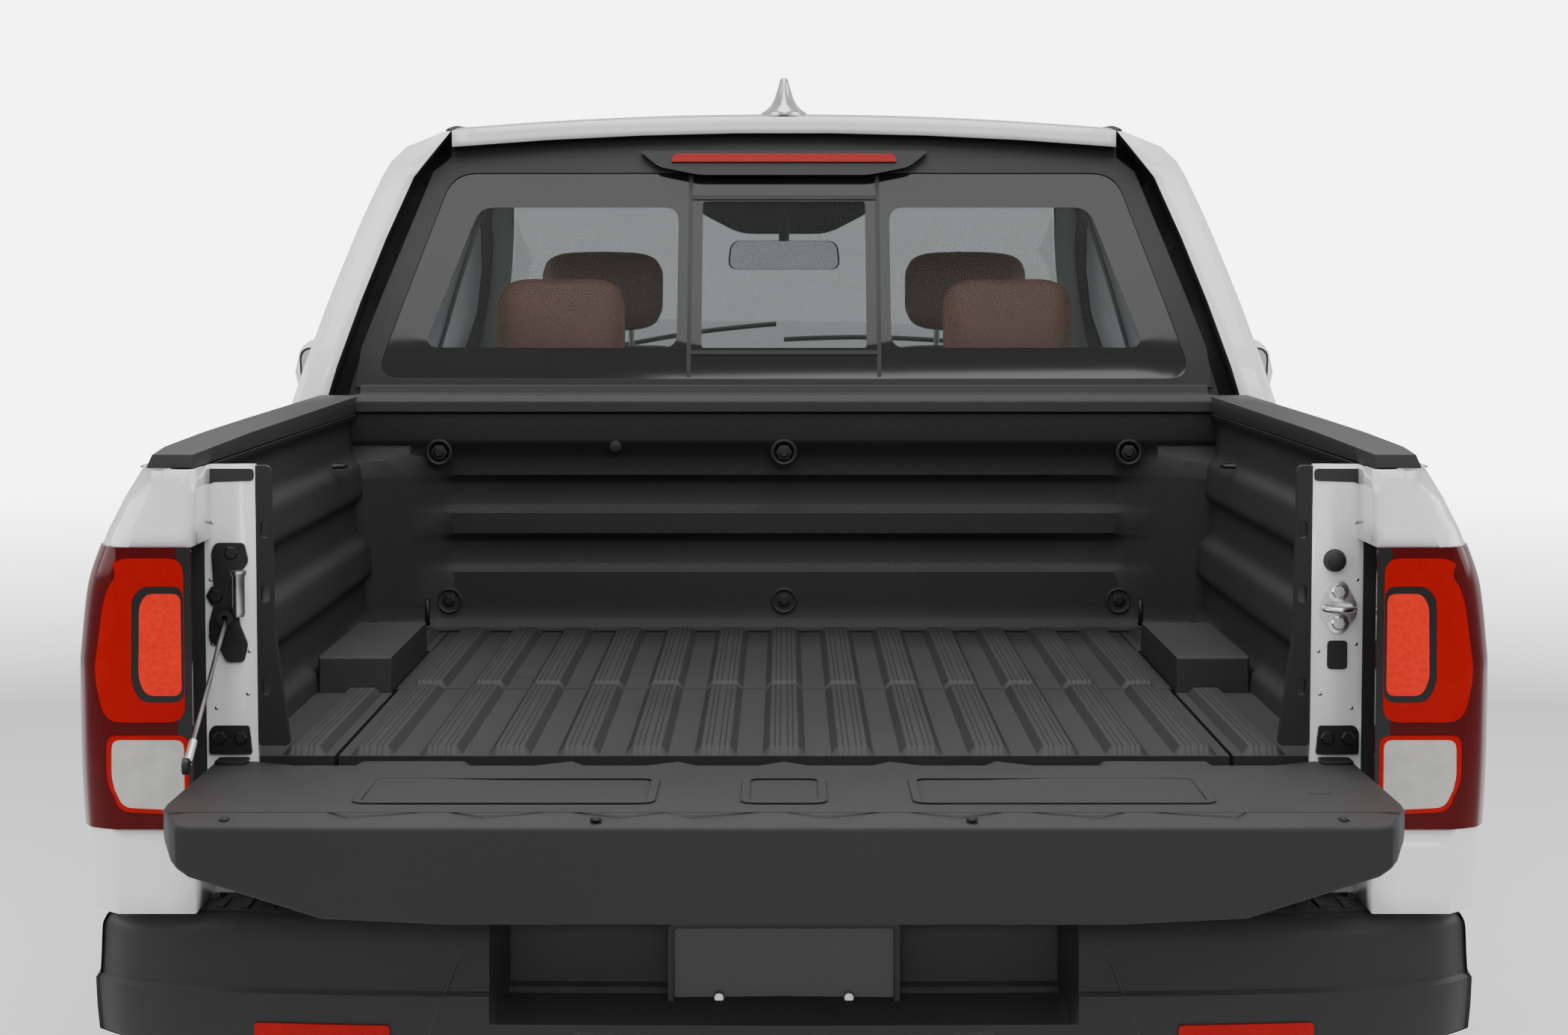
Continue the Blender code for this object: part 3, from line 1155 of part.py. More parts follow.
def main():
    clear_scene()
    middle = (LENGTH + REACH) / 2
    truck = empty("truck", (0.0, REACH - middle, 0.0))
    pair = (truck, truck)
    both("bedside", bedside, WHITE, pair, True)
    both("tail_light", tail_light, RED_LENS, pair, True)
    both("wheelhouse", wheelhouse, COMPOSITE, pair)
    finish("bed_floor", bed_floor(), COMPOSITE, truck)
    finish("trunk_bin", trunk_bin(), COMPOSITE, truck)
    finish("bed_liner", bed_liner(), COMPOSITE, truck, True)
    finish("bed_rail_caps", rail_caps(), TRIM, truck, True)
    finish("rear_bumper", rear_bumper(), TRIM, truck)
    both("cab_side", cab_side_ring, WHITE, pair, True)
    finish("cab_back", cab_back(), TRIM, truck, True)
    finish("rear_window", rear_window(), GLASS, truck, True)
    finish("roof", roof(), WHITE, truck, True)
    finish("windscreen", windscreen(), GLASS, truck, True)
    finish("cab_floor", cab_floor(), DARK_STEEL, truck)
    finish("dashboard", dashboard(), TRIM, truck)
    both("front_seat", front_seat, LEATHER, pair)
    finish("rear_bench", seat(False), LEATHER, truck)
    both("fender", fender, WHITE, pair, True)
    finish("front_bumper", front_bumper(), WHITE, truck, True)
    finish("grille", grille(), TRIM, truck, True)
    both("headlight", headlight, CLEAR_LENS, pair, True)
    finish("front_structure", front_structure(), DARK_STEEL, truck)
    finish("engine_block", engine(), DARK_STEEL, truck)
    finish("rear_rails", rear_rails(), DARK_STEEL, truck)
    finish("rear_axle", rear_axle(), DARK_STEEL, truck)
    finish("front_subframe", front_subframe(), DARK_STEEL, truck)
    finish("exhaust", exhaust(), STEEL, truck)

    gate = empty("tailgate_axis", (0, GATE_FACE, GATE_PIVOT_Z), truck)
    finish("tailgate", tailgate(), WHITE, gate, True)
    finish("tailgate_cable", gate_cable(), STEEL, truck)
    lid = empty("trunk_lid_axis", (0, LID_FRONT, FLOOR_Z + RIB_HEIGHT), truck)
    finish("trunk_lid", trunk_lid(), COMPOSITE, lid)
    bonnet = empty("hood_axis", (0, 4.03, float(hood_top(0.0, 4.16))), truck)
    finish("hood", hood(), WHITE, bonnet, True)
    wheel = empty("steering_axis", WHEEL_CENTRE, truck)
    finish_steering(wheel)

    for front, station, label in ((True, DOOR_FRONT - SHUT, "front"), (False, DOOR_SPLIT - SHUT, "rear")):
        hinge_x = float(np.max(cab_side(station, np.linspace(DOOR_Z, 1.1, 12))))
        pivots = [empty(f"{label}_door_axis_{s}", (x, station, 0.8), truck)
                  for s, x in (("left", -hinge_x), ("right", hinge_x))]
        both(label + "_door", lambda f=front: door(f), WHITE, pivots, True)
        both(label + "_door_glass", lambda f=front: door_glass(f), GLASS, pivots, True)
        if front:
            both("mirror", mirror, WHITE, pivots, True)
    for axle, label in zip(AXLES, ("rear", "front")):
        pivots = [empty(f"{label}_wheel_axis_{s}", (x, axle, TYRE_RADIUS), truck)
                  for s, x in (("left", -TRACK / 2), ("right", TRACK / 2))]
        both(label + "_tyre", lambda a=axle: tyre(a), RUBBER, pivots, True)
        both(label + "_rim", lambda a=axle: rim(a), ALLOY, pivots, True)
        if label == "front":
            both("front_knuckle", upright, DARK_STEEL, pivots)


def finish_steering(pivot):
    """The steering wheel leans back with its column."""
    bm = steering_wheel()
    lean = Matrix.Rotation(-WHEEL_TILT, 4, "X") @ Matrix.Rotation(math.pi / 2, 4, "Z")
    bmesh.ops.transform(bm, matrix=lean, verts=bm.verts)
    bmesh.ops.translate(bm, verts=bm.verts, vec=pivot.location)
    finish("steering_wheel", bm, TRIM, pivot)


main()
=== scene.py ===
"""Crew-cab pickup truck with its tailgate lowered: the looks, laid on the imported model.

Points are worked out in truck stations, as the body is drawn: x to the right, u ahead of the
rear bumper's face, z up. put() shifts them into the model's frame.
"""
import math

import bmesh
import bpy
import numpy as np
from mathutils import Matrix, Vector
from mathutils.geometry import delaunay_2d_cdt


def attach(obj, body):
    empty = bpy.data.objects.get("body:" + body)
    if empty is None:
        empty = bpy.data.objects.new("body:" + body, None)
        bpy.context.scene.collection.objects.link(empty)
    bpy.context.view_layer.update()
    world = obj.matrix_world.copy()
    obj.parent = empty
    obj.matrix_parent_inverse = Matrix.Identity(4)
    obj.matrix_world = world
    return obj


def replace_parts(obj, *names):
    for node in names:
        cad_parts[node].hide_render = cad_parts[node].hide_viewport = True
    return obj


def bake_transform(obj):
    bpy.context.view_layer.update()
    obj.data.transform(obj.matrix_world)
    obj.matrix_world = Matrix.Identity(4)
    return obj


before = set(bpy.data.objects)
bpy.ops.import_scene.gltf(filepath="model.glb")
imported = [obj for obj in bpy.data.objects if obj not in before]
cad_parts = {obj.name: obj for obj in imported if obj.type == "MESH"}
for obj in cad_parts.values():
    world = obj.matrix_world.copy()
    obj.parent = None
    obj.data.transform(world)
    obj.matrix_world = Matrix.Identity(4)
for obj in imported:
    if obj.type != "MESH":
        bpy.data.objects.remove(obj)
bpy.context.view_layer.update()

# ---------------------------------------------------------------- studio
# A pale matt floor under one large softbox, two side boxes and a back box, with the camera
# standing behind the truck at head height, looking a few degrees down into the bed.

def tree_of(material):
    """The material's nodes, its links and its Principled shader."""
    material.use_nodes = True
    nodes = material.node_tree.nodes
    return nodes, material.node_tree.links, nodes["Principled BSDF"]


def surface_variation():
    """Node group: slow tone drift, fine grain, pebble cells and dust on what faces up, 0 to 1."""
    tree = bpy.data.node_groups.new("surface_variation", "ShaderNodeTree")
    for label, value in (("Patch", 3.0), ("Grain", 400.0)):
        tree.interface.new_socket(label, in_out="INPUT", socket_type="NodeSocketFloat").default_value = value
    for label in ("Tone", "Fine", "Pebble", "Dust"):
        tree.interface.new_socket(label, in_out="OUTPUT", socket_type="NodeSocketFloat")
    nodes, links = tree.nodes, tree.links
    given, out = nodes.new("NodeGroupInput"), nodes.new("NodeGroupOutput")
    place = nodes.new("ShaderNodeTexCoord")
    drift, grain, cells = (nodes.new(kind) for kind in
                           ("ShaderNodeTexNoise", "ShaderNodeTexNoise", "ShaderNodeTexVoronoi"))
    for node, socket in ((drift, "Patch"), (grain, "Grain"), (cells, "Grain")):
        links.new(place.outputs["Object"], node.inputs["Vector"])
        links.new(given.outputs[socket], node.inputs["Scale"])
    drift.inputs["Detail"].default_value = 5.0
    grain.inputs["Detail"].default_value = 2.0
    facing, up, dust = nodes.new("ShaderNodeNewGeometry"), nodes.new("ShaderNodeSeparateXYZ"), nodes.new("ShaderNodeMath")
    links.new(facing.outputs["Normal"], up.inputs[0])
    dust.operation = "MULTIPLY"
    dust.use_clamp = True
    links.new(up.outputs["Z"], dust.inputs[0])
    links.new(drift.outputs["Fac"], dust.inputs[1])
    for source, label in ((drift.outputs["Fac"], "Tone"), (grain.outputs["Fac"], "Fine"),
                          (cells.outputs["Distance"], "Pebble"), (dust.outputs[0], "Dust")):
        links.new(source, out.inputs[label])
    return tree


VARIATION = surface_variation()


def made_of(name, dark, light, rough, spread=0.08, patch=3.0, grain=400.0, bump=0.1, relief="Fine",
            depth=0.0005, dust=0.0, **sockets):
    """Material whose colour drifts between two tones and whose roughness drifts with it, with grain in its relief."""
    material = bpy.data.materials.new(name)
    nodes, links, shader = tree_of(material)
    vary = nodes.new("ShaderNodeGroup")
    vary.node_tree = VARIATION
    vary.inputs["Patch"].default_value = patch
    vary.inputs["Grain"].default_value = grain
    tone = nodes.new("ShaderNodeMix")
    tone.data_type = "RGBA"
    tone.inputs["A"].default_value = (*dark, 1.0)
    tone.inputs["B"].default_value = (*light, 1.0)
    links.new(vary.outputs["Tone"], tone.inputs["Factor"])
    colour = tone.outputs["Result"]
    if dust:
        share, dusty = nodes.new("ShaderNodeMath"), nodes.new("ShaderNodeMix")
        share.operation = "MULTIPLY"
        share.inputs[1].default_value = dust
        links.new(vary.outputs["Dust"], share.inputs[0])
        dusty.data_type = "RGBA"
        dusty.inputs["B"].default_value = (0.30, 0.28, 0.25, 1.0)
        links.new(share.outputs[0], dusty.inputs["Factor"])
        links.new(colour, dusty.inputs["A"])
        colour = dusty.outputs["Result"]
    links.new(colour, shader.inputs["Base Color"])
    span = nodes.new("ShaderNodeMapRange")
    span.inputs["To Min"].default_value = rough - spread
    span.inputs["To Max"].default_value = rough + spread
    links.new(vary.outputs["Tone"], span.inputs["Value"])
    links.new(span.outputs["Result"], shader.inputs["Roughness"])
    raised = nodes.new("ShaderNodeBump")
    raised.inputs["Strength"].default_value = bump
    raised.inputs["Distance"].default_value = depth
    links.new(vary.outputs[relief], raised.inputs["Height"])
    links.new(raised.outputs["Normal"], shader.inputs["Normal"])
    for label, value in sockets.items():
        shader.inputs[label.replace("_", " ")].default_value = value
    return material


ROW_SHIFT = 2.52                                     # from truck stations to the model's frame


def put(name, points, faces, look, body=None, smooth=35.0, bevel=0.0, stands_for=()):
    """An object from an array of points in truck stations and its faces, riding on a body."""
    mesh = bpy.data.meshes.new(name)
    place = np.asarray(points, float).reshape(-1, 3) + (0.0, -ROW_SHIFT, 0.0)
    mesh.from_pydata(place.tolist(), [], faces)
    mesh.materials.append(look)
    obj = bpy.data.objects.new(name, mesh)
    bpy.context.scene.collection.objects.link(obj)
    tidy = bmesh.new()
    tidy.from_mesh(mesh)
    bmesh.ops.recalc_face_normals(tidy, faces=tidy.faces)
    tidy.to_mesh(mesh)
    tidy.free()
    mesh.shade_smooth()
    mesh.set_sharp_from_angle(angle=math.radians(smooth))
    if bevel:
        edge = obj.modifiers.new("edge", "BEVEL")
        edge.width, edge.segments, edge.limit_method = bevel, 2, "ANGLE"
        edge.angle_limit = math.radians(40)
        edge.harden_normals = True
    if body:
        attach(obj, body)
    if stands_for:
        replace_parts(obj, *stands_for)
    return obj


studio_floor = made_of("studio_floor", (0.80, 0.80, 0.80), (0.84, 0.84, 0.84), 0.9, 0.03, patch=0.3, bump=0.02)
nodes, links, shader = tree_of(studio_floor)
spot, reach, far = nodes.new("ShaderNodeTexCoord"), nodes.new("ShaderNodeVectorMath"), nodes.new("ShaderNodeMapRange")
reach.operation = "LENGTH"
links.new(spot.outputs["Object"], reach.inputs[0])
links.new(reach.outputs["Value"], far.inputs["Value"])
far.inputs["From Min"].default_value, far.inputs["From Max"].default_value = 5.0, 16.0
direct, glow = nodes.new("ShaderNodeLightPath"), nodes.new("ShaderNodeMath")
glow.operation = "MULTIPLY"
links.new(far.outputs["Result"], glow.inputs[0])
links.new(direct.outputs["Is Camera Ray"], glow.inputs[1])
links.new(glow.outputs["Value"], shader.inputs["Emission Color"])
shader.inputs["Emission Strength"].default_value = 6.0
around = np.radians(np.arange(0, 360, 4))
put("floor", np.column_stack([90 * np.cos(around), 90 * np.sin(around), 0 * around]),
             [list(range(90))], studio_floor)
world = bpy.data.worlds.new("studio")
world.use_nodes = True
sky = world.node_tree.nodes
sky["Background"].inputs["Color"].default_value = (1.0, 1.0, 1.0, 1.0)
sky["Background"].inputs["Strength"].default_value = 0.75
backdrop, seen, choose = sky.new("ShaderNodeBackground"), sky.new("ShaderNodeLightPath"), sky.new("ShaderNodeMixShader")
backdrop.inputs["Strength"].default_value = 8.0
world.node_tree.links.new(seen.outputs["Is Camera Ray"], choose.inputs["Fac"])
world.node_tree.links.new(sky["Background"].outputs[0], choose.inputs[1])
world.node_tree.links.new(backdrop.outputs[0], choose.inputs[2])
world.node_tree.links.new(choose.outputs[0], sky["World Output"].inputs["Surface"])
bpy.context.scene.world = world


def softbox(name, place, target, width, height, watts):
    """Rectangular area light at a place, facing a target."""
    lamp = bpy.data.lights.new(name, "AREA")
    lamp.shape, lamp.size, lamp.size_y, lamp.energy = "RECTANGLE", width, height, watts
    obj = bpy.data.objects.new(name, lamp)
    obj.location = place
    obj.rotation_euler = (Vector(target) - Vector(place)).to_track_quat("-Z", "Y").to_euler()
    bpy.context.scene.collection.objects.link(obj)


softbox("top_box", (0.0, -1.2, 5.6), (0, -0.6, 0.8), 4.5, 7.5, 330)
softbox("left_box", (-6.5, -1.5, 3.2), (0, 0, 0.9), 6.0, 2.6, 170)
softbox("right_box", (6.5, 0.5, 3.2), (0, 0, 0.9), 6.0, 2.6, 150)
softbox("rear_box", (1.5, -9.0, 4.6), (0, -2.0, 0.8), 5.0, 2.0, 190)

camera = bpy.data.objects.new("camera", bpy.data.cameras.new("camera"))
camera.data.lens = 75.9
camera.data.sensor_width = 36.0
camera.location = (0.0, -6.885, 1.483)
camera.rotation_euler = (math.radians(90 - 4.32), 0.0, 0.0)
camera.data.clip_end = 400.0
bpy.context.scene.collection.objects.link(camera)
bpy.context.scene.camera = camera

# ---------------------------------------------------------------- painted body
# Bedsides, cab sides, doors, fenders, hood and roof are steel pressings in white paint under a
# clear coat. Each is a finer copy of its packed panel, laid back on the body's curved surface.

white_paint = made_of("white_paint", (0.74, 0.75, 0.76), (0.82, 0.83, 0.84), 0.34, 0.03, patch=1.2, grain=260.0,
                      bump=0.03, depth=0.0004, Coat_Weight=1.0, Coat_Roughness=0.03)
CAB_REAR, DOOR_FRONT = 1.900, 3.865
SIDE_HALF, ARCH_RADIUS, TYRE_RADIUS, FLARE = 0.975, 0.420, 0.3755, 0.0225
REAR_AXLE, FRONT_AXLE, TRACK, TYRE_WIDTH, RIM_RADIUS = 1.190, 4.370, 1.690, 0.245, 0.229


def curve(*points):
    """Monotone cubic through (t, value) points: each slope is the harmonic mean of its two chords."""
    t, v = np.array(points, float).T
    step = np.diff(t)
    slope = np.diff(v) / step
    tangent = np.zeros(len(t))
    same = slope[:-1] * slope[1:] > 0
    tangent[1:-1] = np.where(same, 2 * slope[:-1] * slope[1:] / np.where(same, slope[:-1] + slope[1:], 1.0),
                             0.0)
    tangent[0], tangent[-1] = slope[0], slope[-1]

    def value(at):
        at = np.clip(np.asarray(at, float), t[0], t[-1])
        k = np.clip(np.searchsorted(t, at) - 1, 0, len(t) - 2)
        s = (at - t[k]) / step[k]
        return ((1 + 2 * s) * (1 - s) ** 2 * v[k] + s * s * (3 - 2 * s) * v[k + 1]
                + s * (1 - s) ** 2 * step[k] * tangent[k] + s * s * (s - 1) * step[k] * tangent[k + 1])
    return value


PLAN = curve((0.055, -0.085), (0.065, -0.055), (0.085, -0.030), (0.14, -0.013), (0.50, -0.005), (1.19, 0.0),
             (3.20, -0.003), (4.37, -0.004), (4.85, -0.018), (5.00, -0.035), (5.10, -0.06))
LOWER = curve((0.30, -0.070), (0.42, -0.032), (0.60, -0.012), (0.85, 0.0), (1.00, 0.0))
BED_SHOULDER = curve((0.95, 0.0), (1.05, -0.012), (1.11, -0.032), (1.17, -0.062), (1.235, -0.092))
CAB_SHOULDER = curve((0.95, 0.0), (1.10, -0.012), (1.22, -0.034))
BELT = curve((CAB_REAR, 1.215), (2.6, 1.165), (DOOR_FRONT, 1.125))
RAIL_TOP = curve((CAB_REAR, 1.725), (2.13, 1.748), (2.35, 1.764), (2.80, 1.772), (3.10, 1.753), (3.30, 1.715),
                 (3.60, 1.515), (3.85, 1.315), (4.06, 1.145))
SEAM = curve((2.10, 0.663), (3.00, 0.658), (3.30, 0.635), (4.06, 0.735))
TUMBLE = curve((0.0, 0.0), (0.49, 0.30), (0.78, 0.51), (0.894, 0.62), (0.96, 0.77), (1.0, 1.0))
HOOD_EDGE = curve((3.86, 1.120), (4.40, 1.100), (4.80, 1.052), (5.05, 0.998), (5.20, 0.950))
HOOD_HALF = curve((3.86, 0.735), (4.50, 0.765), (5.00, 0.745), (5.20, 0.700))
ROUND_OVER = curve((3.86, 0.035), (4.40, 0.090), (4.90, 0.160))
SCREEN_BOW = curve((2.60, 0.0), (3.20, 0.130))
REAR_LEAN = curve((1.20, 0.0), (1.30, 0.020), (1.68, 0.225), (1.75, 0.262))


def flare(u, z):
    """Arch lip: a bell-shaped ridge along the circle round each axle."""
    return sum(FLARE * np.exp(-((np.hypot(u - axle, z - TYRE_RADIUS) - ARCH_RADIUS) / 0.055) ** 2)
               for axle in (REAR_AXLE, FRONT_AXLE))


def bed_side(u, z):
    """Half-width of the bedside: widest half plus plan taper, sill tuck, shoulder and arch lip."""
    return SIDE_HALF + PLAN(u) + LOWER(z) + BED_SHOULDER(z) + flare(u, z)


def cab_side(u, z):
    """Half-width of the cab: the door skin, blended above the belt to the roof seam by a tumblehome curve."""
    belt = BELT(u)
    low = SIDE_HALF + PLAN(u) + LOWER(z) + CAB_SHOULDER(np.minimum(z, belt)) + flare(u, z)
    up = np.clip((z - belt) / np.maximum(RAIL_TOP(u) - belt, 0.02), 0.0, 1.0)
    return low - (low - SEAM(u)) * TUMBLE(up)


def fender_side(u, z):
    """Half-width of the front fender, rounded over a power curve to the hood's edge."""
    low = SIDE_HALF + PLAN(u) + LOWER(z) + flare(u, z)
    up = np.clip((z - HOOD_EDGE(u)) / ROUND_OVER(u) + 1, 0.0, 1.0)
    return HOOD_HALF(u) + (low - HOOD_HALF(u)) * (1 - up ** 2.2) ** 0.6


def roof_top(x, u):
    """Height of roof and windscreen: the side rail's height read further back in the middle, plus a crown."""
    side = np.clip((x / SEAM(u)) ** 2, 0.0, 1.0)
    return RAIL_TOP(u - SCREEN_BOW(u) * (1 - side)) + 0.028 * (1 - side)


def hood_top(x, u):
    """Height of the hood: its edge line plus a crown that is flat in the middle."""
    return HOOD_EDGE(u) + 0.034 * (1 - np.clip(np.abs(x) / HOOD_HALF(u), 0, 1) ** 2.5)


def on_surface(place, side, top, near=0.002):
    """1 where a packed point lies on side(u, z) or top(x, u), 0 elsewhere."""
    x, u, z = place[:, 0], place[:, 1] + ROW_SHIFT, place[:, 2]
    if side:
        return (np.abs(np.abs(x) - side(u, z)) < near).astype(float)
    if top:
        return (np.abs(z - top(x, u)) < near).astype(float)
    return np.zeros(len(place))


def carry(node, look, body="root", side=None, top=None, cuts=0, bevel=0.0, smooth=35.0, lining=None):
    """A merged copy of a CAD node, split finer, its outer points moved onto side(u, z) or top(x, u)
    and shaded with that surface's own slope."""
    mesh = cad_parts[node].data.copy()
    work = bmesh.new()
    work.from_mesh(mesh)
    bmesh.ops.remove_doubles(work, verts=work.verts, dist=0.00002)
    skin = work.verts.layers.float.new("skin")
    place = np.array([v.co for v in work.verts])
    for v, on in zip(work.verts, on_surface(place, side, top)):
        v[skin] = on
    if cuts:
        bmesh.ops.subdivide_edges(work, edges=work.edges, cuts=cuts, use_grid_fill=True)
    work.to_mesh(mesh)
    work.free()
    mesh.materials.clear()
    mesh.materials.append(look)
    obj = bpy.data.objects.new(node + "_skin", mesh)
    bpy.context.scene.collection.objects.link(obj)
    place = np.empty(len(mesh.vertices) * 3)
    mesh.vertices.foreach_get("co", place)
    place = place.reshape(-1, 3)
    on = np.empty(len(mesh.vertices))
    mesh.attributes["skin"].data.foreach_get("value", on)
    on = on > 0.999
    x, u, z = place[:, 0], place[:, 1] + ROW_SHIFT, place[:, 2]
    slope = None
    if side:
        out, hand, d = side(u, z), np.sign(x), 1e-3
        place[on, 0] = (hand * out)[on]
        slope = np.column_stack([hand, -(side(u + d, z) - side(u - d, z)) / (2 * d),
                                 -(side(u, z + d) - side(u, z - d)) / (2 * d)])
    if top:
        out, d = top(x, u), 1e-3
        place[on, 2] = out[on]
        slope = np.column_stack([-(top(x + d, u) - top(x - d, u)) / (2 * d),
                                 -(top(x, u + d) - top(x, u - d)) / (2 * d), 1 + 0 * x])
    mesh.vertices.foreach_set("co", place.ravel())
    mesh.update()
    mesh.shade_smooth()
    mesh.set_sharp_from_angle(angle=math.radians(smooth))
    if slope is not None:
        slope /= np.linalg.norm(slope, axis=1)[:, None]
        corner = np.empty(len(mesh.loops) * 3)
        mesh.corner_normals.foreach_get("vector", corner)
        corner = corner.reshape(-1, 3)
        index = np.empty(len(mesh.loops), int)
        mesh.loops.foreach_get("vertex_index", index)
        face = np.repeat([p.normal for p in mesh.polygons], [p.loop_total for p in mesh.polygons], axis=0)
        whole = np.repeat([on[list(p.vertices)].all() for p in mesh.polygons],
                          [p.loop_total for p in mesh.polygons])
        use = whole & (np.sum(face * slope[index], axis=1) > 0.55)
        corner[use] = slope[index][use]
        mesh.normals_split_custom_set(corner.tolist())
    if lining:
        mesh.materials.append(lining)
        facing = np.array([p.normal for p in mesh.polygons])
        middle = np.array([p.center for p in mesh.polygons])
        inward = facing[:, 2] < -0.4 if top else facing[:, 0] * np.sign(middle[:, 0]) < -0.4
        mesh.polygons.foreach_set("material_index", inward.astype(np.int32))
    if bevel:
        edge = obj.modifiers.new("edge", "BEVEL")
        edge.width, edge.segments, edge.limit_method = bevel, 2, "ANGLE"
        edge.angle_limit = math.radians(40)
        edge.harden_normals = True
    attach(obj, body)
    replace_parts(obj, node)
    return obj


door_lining = made_of("door_lining", (0.020, 0.019, 0.018), (0.032, 0.030, 0.028), 0.6, 0.06, patch=4.0,
                      grain=420.0, bump=0.4, relief="Pebble")
for hand in ("left", "right"):
    carry(f"bedside_{hand}", white_paint, side=bed_side, cuts=2)
    carry(f"cab_side_{hand}", white_paint, side=cab_side, cuts=2, lining=door_lining)
    carry(f"fender_{hand}", white_paint, side=fender_side, cuts=3)
    for door in ("front_door", "rear_door"):
        carry(f"{door}_{hand}", white_paint, f"{door}_{hand}", side=cab_side, cuts=2, lining=door_lining)
carry("roof", white_paint, top=roof_top, cuts=2, lining=door_lining)
carry("hood", white_paint, "hood", top=hood_top, cuts=3)

# ---------------------------------------------------------------- finishes of the remaining nodes
bed_composite = made_of("bed_composite", (0.011, 0.011, 0.0114), (0.019, 0.019, 0.0194), 0.58, 0.06, patch=2.2,
                        grain=620.0, bump=0.45, relief="Pebble", depth=0.0006, dust=0.04,
                        Specular_IOR_Level=0.28)
black_trim = made_of("black_trim", (0.012, 0.012, 0.0125), (0.020, 0.020, 0.0205), 0.50, 0.06, patch=2.0,
                     grain=900.0,
                     bump=0.25, relief="Pebble", depth=0.0004, Specular_IOR_Level=0.28)
gloss_black = made_of("gloss_black", (0.005, 0.005, 0.0055), (0.009, 0.009, 0.0095), 0.10, 0.02, bump=0.01,
                      Specular_IOR_Level=0.35)
chassis_steel = made_of("chassis_steel", (0.020, 0.020, 0.021), (0.050, 0.046, 0.042), 0.55, 0.12, patch=9.0,
                        grain=150.0, bump=0.2, Metallic=0.4)
zinc_steel = made_of("zinc_steel", (0.48, 0.49, 0.50), (0.66, 0.67, 0.68), 0.32, 0.08, patch=30.0, grain=500.0,
                     Metallic=1.0)
alloy = made_of("alloy", (0.50, 0.51, 0.53), (0.60, 0.61, 0.63), 0.28, 0.05, patch=6.0, grain=700.0, bump=0.03,
                Metallic=1.0, Coat_Weight=0.6, Coat_Roughness=0.08)
tyre_rubber = made_of("tyre_rubber", (0.014, 0.014, 0.014), (0.026, 0.025, 0.024), 0.72, 0.08, patch=8.0,
                      grain=500.0,
                      bump=0.2, dust=0.10)
leather = made_of("leather", (0.16, 0.072, 0.040), (0.235, 0.11, 0.065), 0.50, 0.07, patch=9.0, grain=330.0,
                  bump=0.5,
                  relief="Pebble", depth=0.0006, dust=0.0)


def tinted(name, tint, rough=0.0):
    """Glass that bends light for the eye and lets tinted light straight through to what it covers."""
    material = bpy.data.materials.new(name)
    nodes, links, shader = tree_of(material)
    vary = nodes.new("ShaderNodeGroup")
    vary.node_tree = VARIATION
    vary.inputs["Patch"].default_value = 6.0
    tone = nodes.new("ShaderNodeMix")
    tone.data_type = "RGBA"
    tone.inputs["A"].default_value = (*tint, 1.0)
    tone.inputs["B"].default_value = (*(0.93 * t for t in tint), 1.0)
    links.new(vary.outputs["Tone"], tone.inputs["Factor"])
    links.new(tone.outputs["Result"], shader.inputs["Base Color"])
    shader.inputs["Roughness"].default_value = rough
    shader.inputs["Transmission Weight"].default_value = 1.0
    shader.inputs["IOR"].default_value = 1.15
    clear, path, mix = nodes.new("ShaderNodeBsdfTransparent"), nodes.new("ShaderNodeLightPath"), nodes.new("ShaderNodeMixShader")
    links.new(tone.outputs["Result"], clear.inputs["Color"])
    links.new(path.outputs["Is Shadow Ray"], mix.inputs["Fac"])
    links.new(shader.outputs[0], mix.inputs[1])
    links.new(clear.outputs[0], mix.inputs[2])
    links.new(mix.outputs[0], nodes["Material Output"].inputs["Surface"])
    return material


privacy_glass = tinted("privacy_glass", (0.52, 0.54, 0.55))
clear_glass = tinted("clear_glass", (0.90, 0.93, 0.92))

# ---------------------------------------------------------------- cargo bed walls
# The bed is moulded dark composite: side walls with three long swages, a front wall with two
# recessed bands between slanted corners, and round-headed bolts through it into the cab's back.

def loft(name, rows, look, body="root", ends=True, **finish):
    """Closed skin through rows of points: an (m, n, 3) array, each row a ring, filled at both ends."""
    rows = np.asarray(rows, float)
    m, n = rows.shape[:2]
    j, k = np.meshgrid(np.arange(m - 1), np.arange(n), indexing="ij")
    j, k = j.ravel(), k.ravel()
    faces = np.column_stack([j * n + k, j * n + (k + 1) % n, (j + 1) * n + (k + 1) % n,
                             (j + 1) * n + k]).tolist()
    if ends:
        faces += [list(range(n))[::-1], list(range((m - 1) * n, m * n))]
    return put(name, rows, faces, look, body, **finish)


def carried(profile, axis, stations):
    """Rows of a 2-D profile repeated at stations along an axis: (y, z), (x, z) or (x, y) pairs."""
    profile, stations = np.asarray(profile, float), np.asarray(stations, float)
    flat = np.broadcast_to(profile, (len(stations), *profile.shape))
    deep = np.broadcast_to(stations[:, None, None], (*flat.shape[:2], 1))
    return np.concatenate([flat, deep], axis=2)[:, :, {"x": (2, 0, 1), "y": (0, 2, 1), "z": (0, 1, 2)}[axis]]


def rounded(corners, radius, steps=4):
    """Polygon whose corners are replaced by short parabolas that leave each side at the radius."""
    points, out = np.array(corners, float), []
    for here, before, after in zip(points, np.roll(points, 1, axis=0), np.roll(points, -1, axis=0)):
        inn, way = before - here, after - here
        reach = min(radius, 0.45 * np.hypot(*inn), 0.45 * np.hypot(*way))
        s = np.linspace(0, 1, steps + 1)[:, None]
        out.append(here + inn / np.hypot(*inn) * reach * (1 - s) ** 2 + way / np.hypot(*way) * reach * s ** 2)
    return np.concatenate(out)


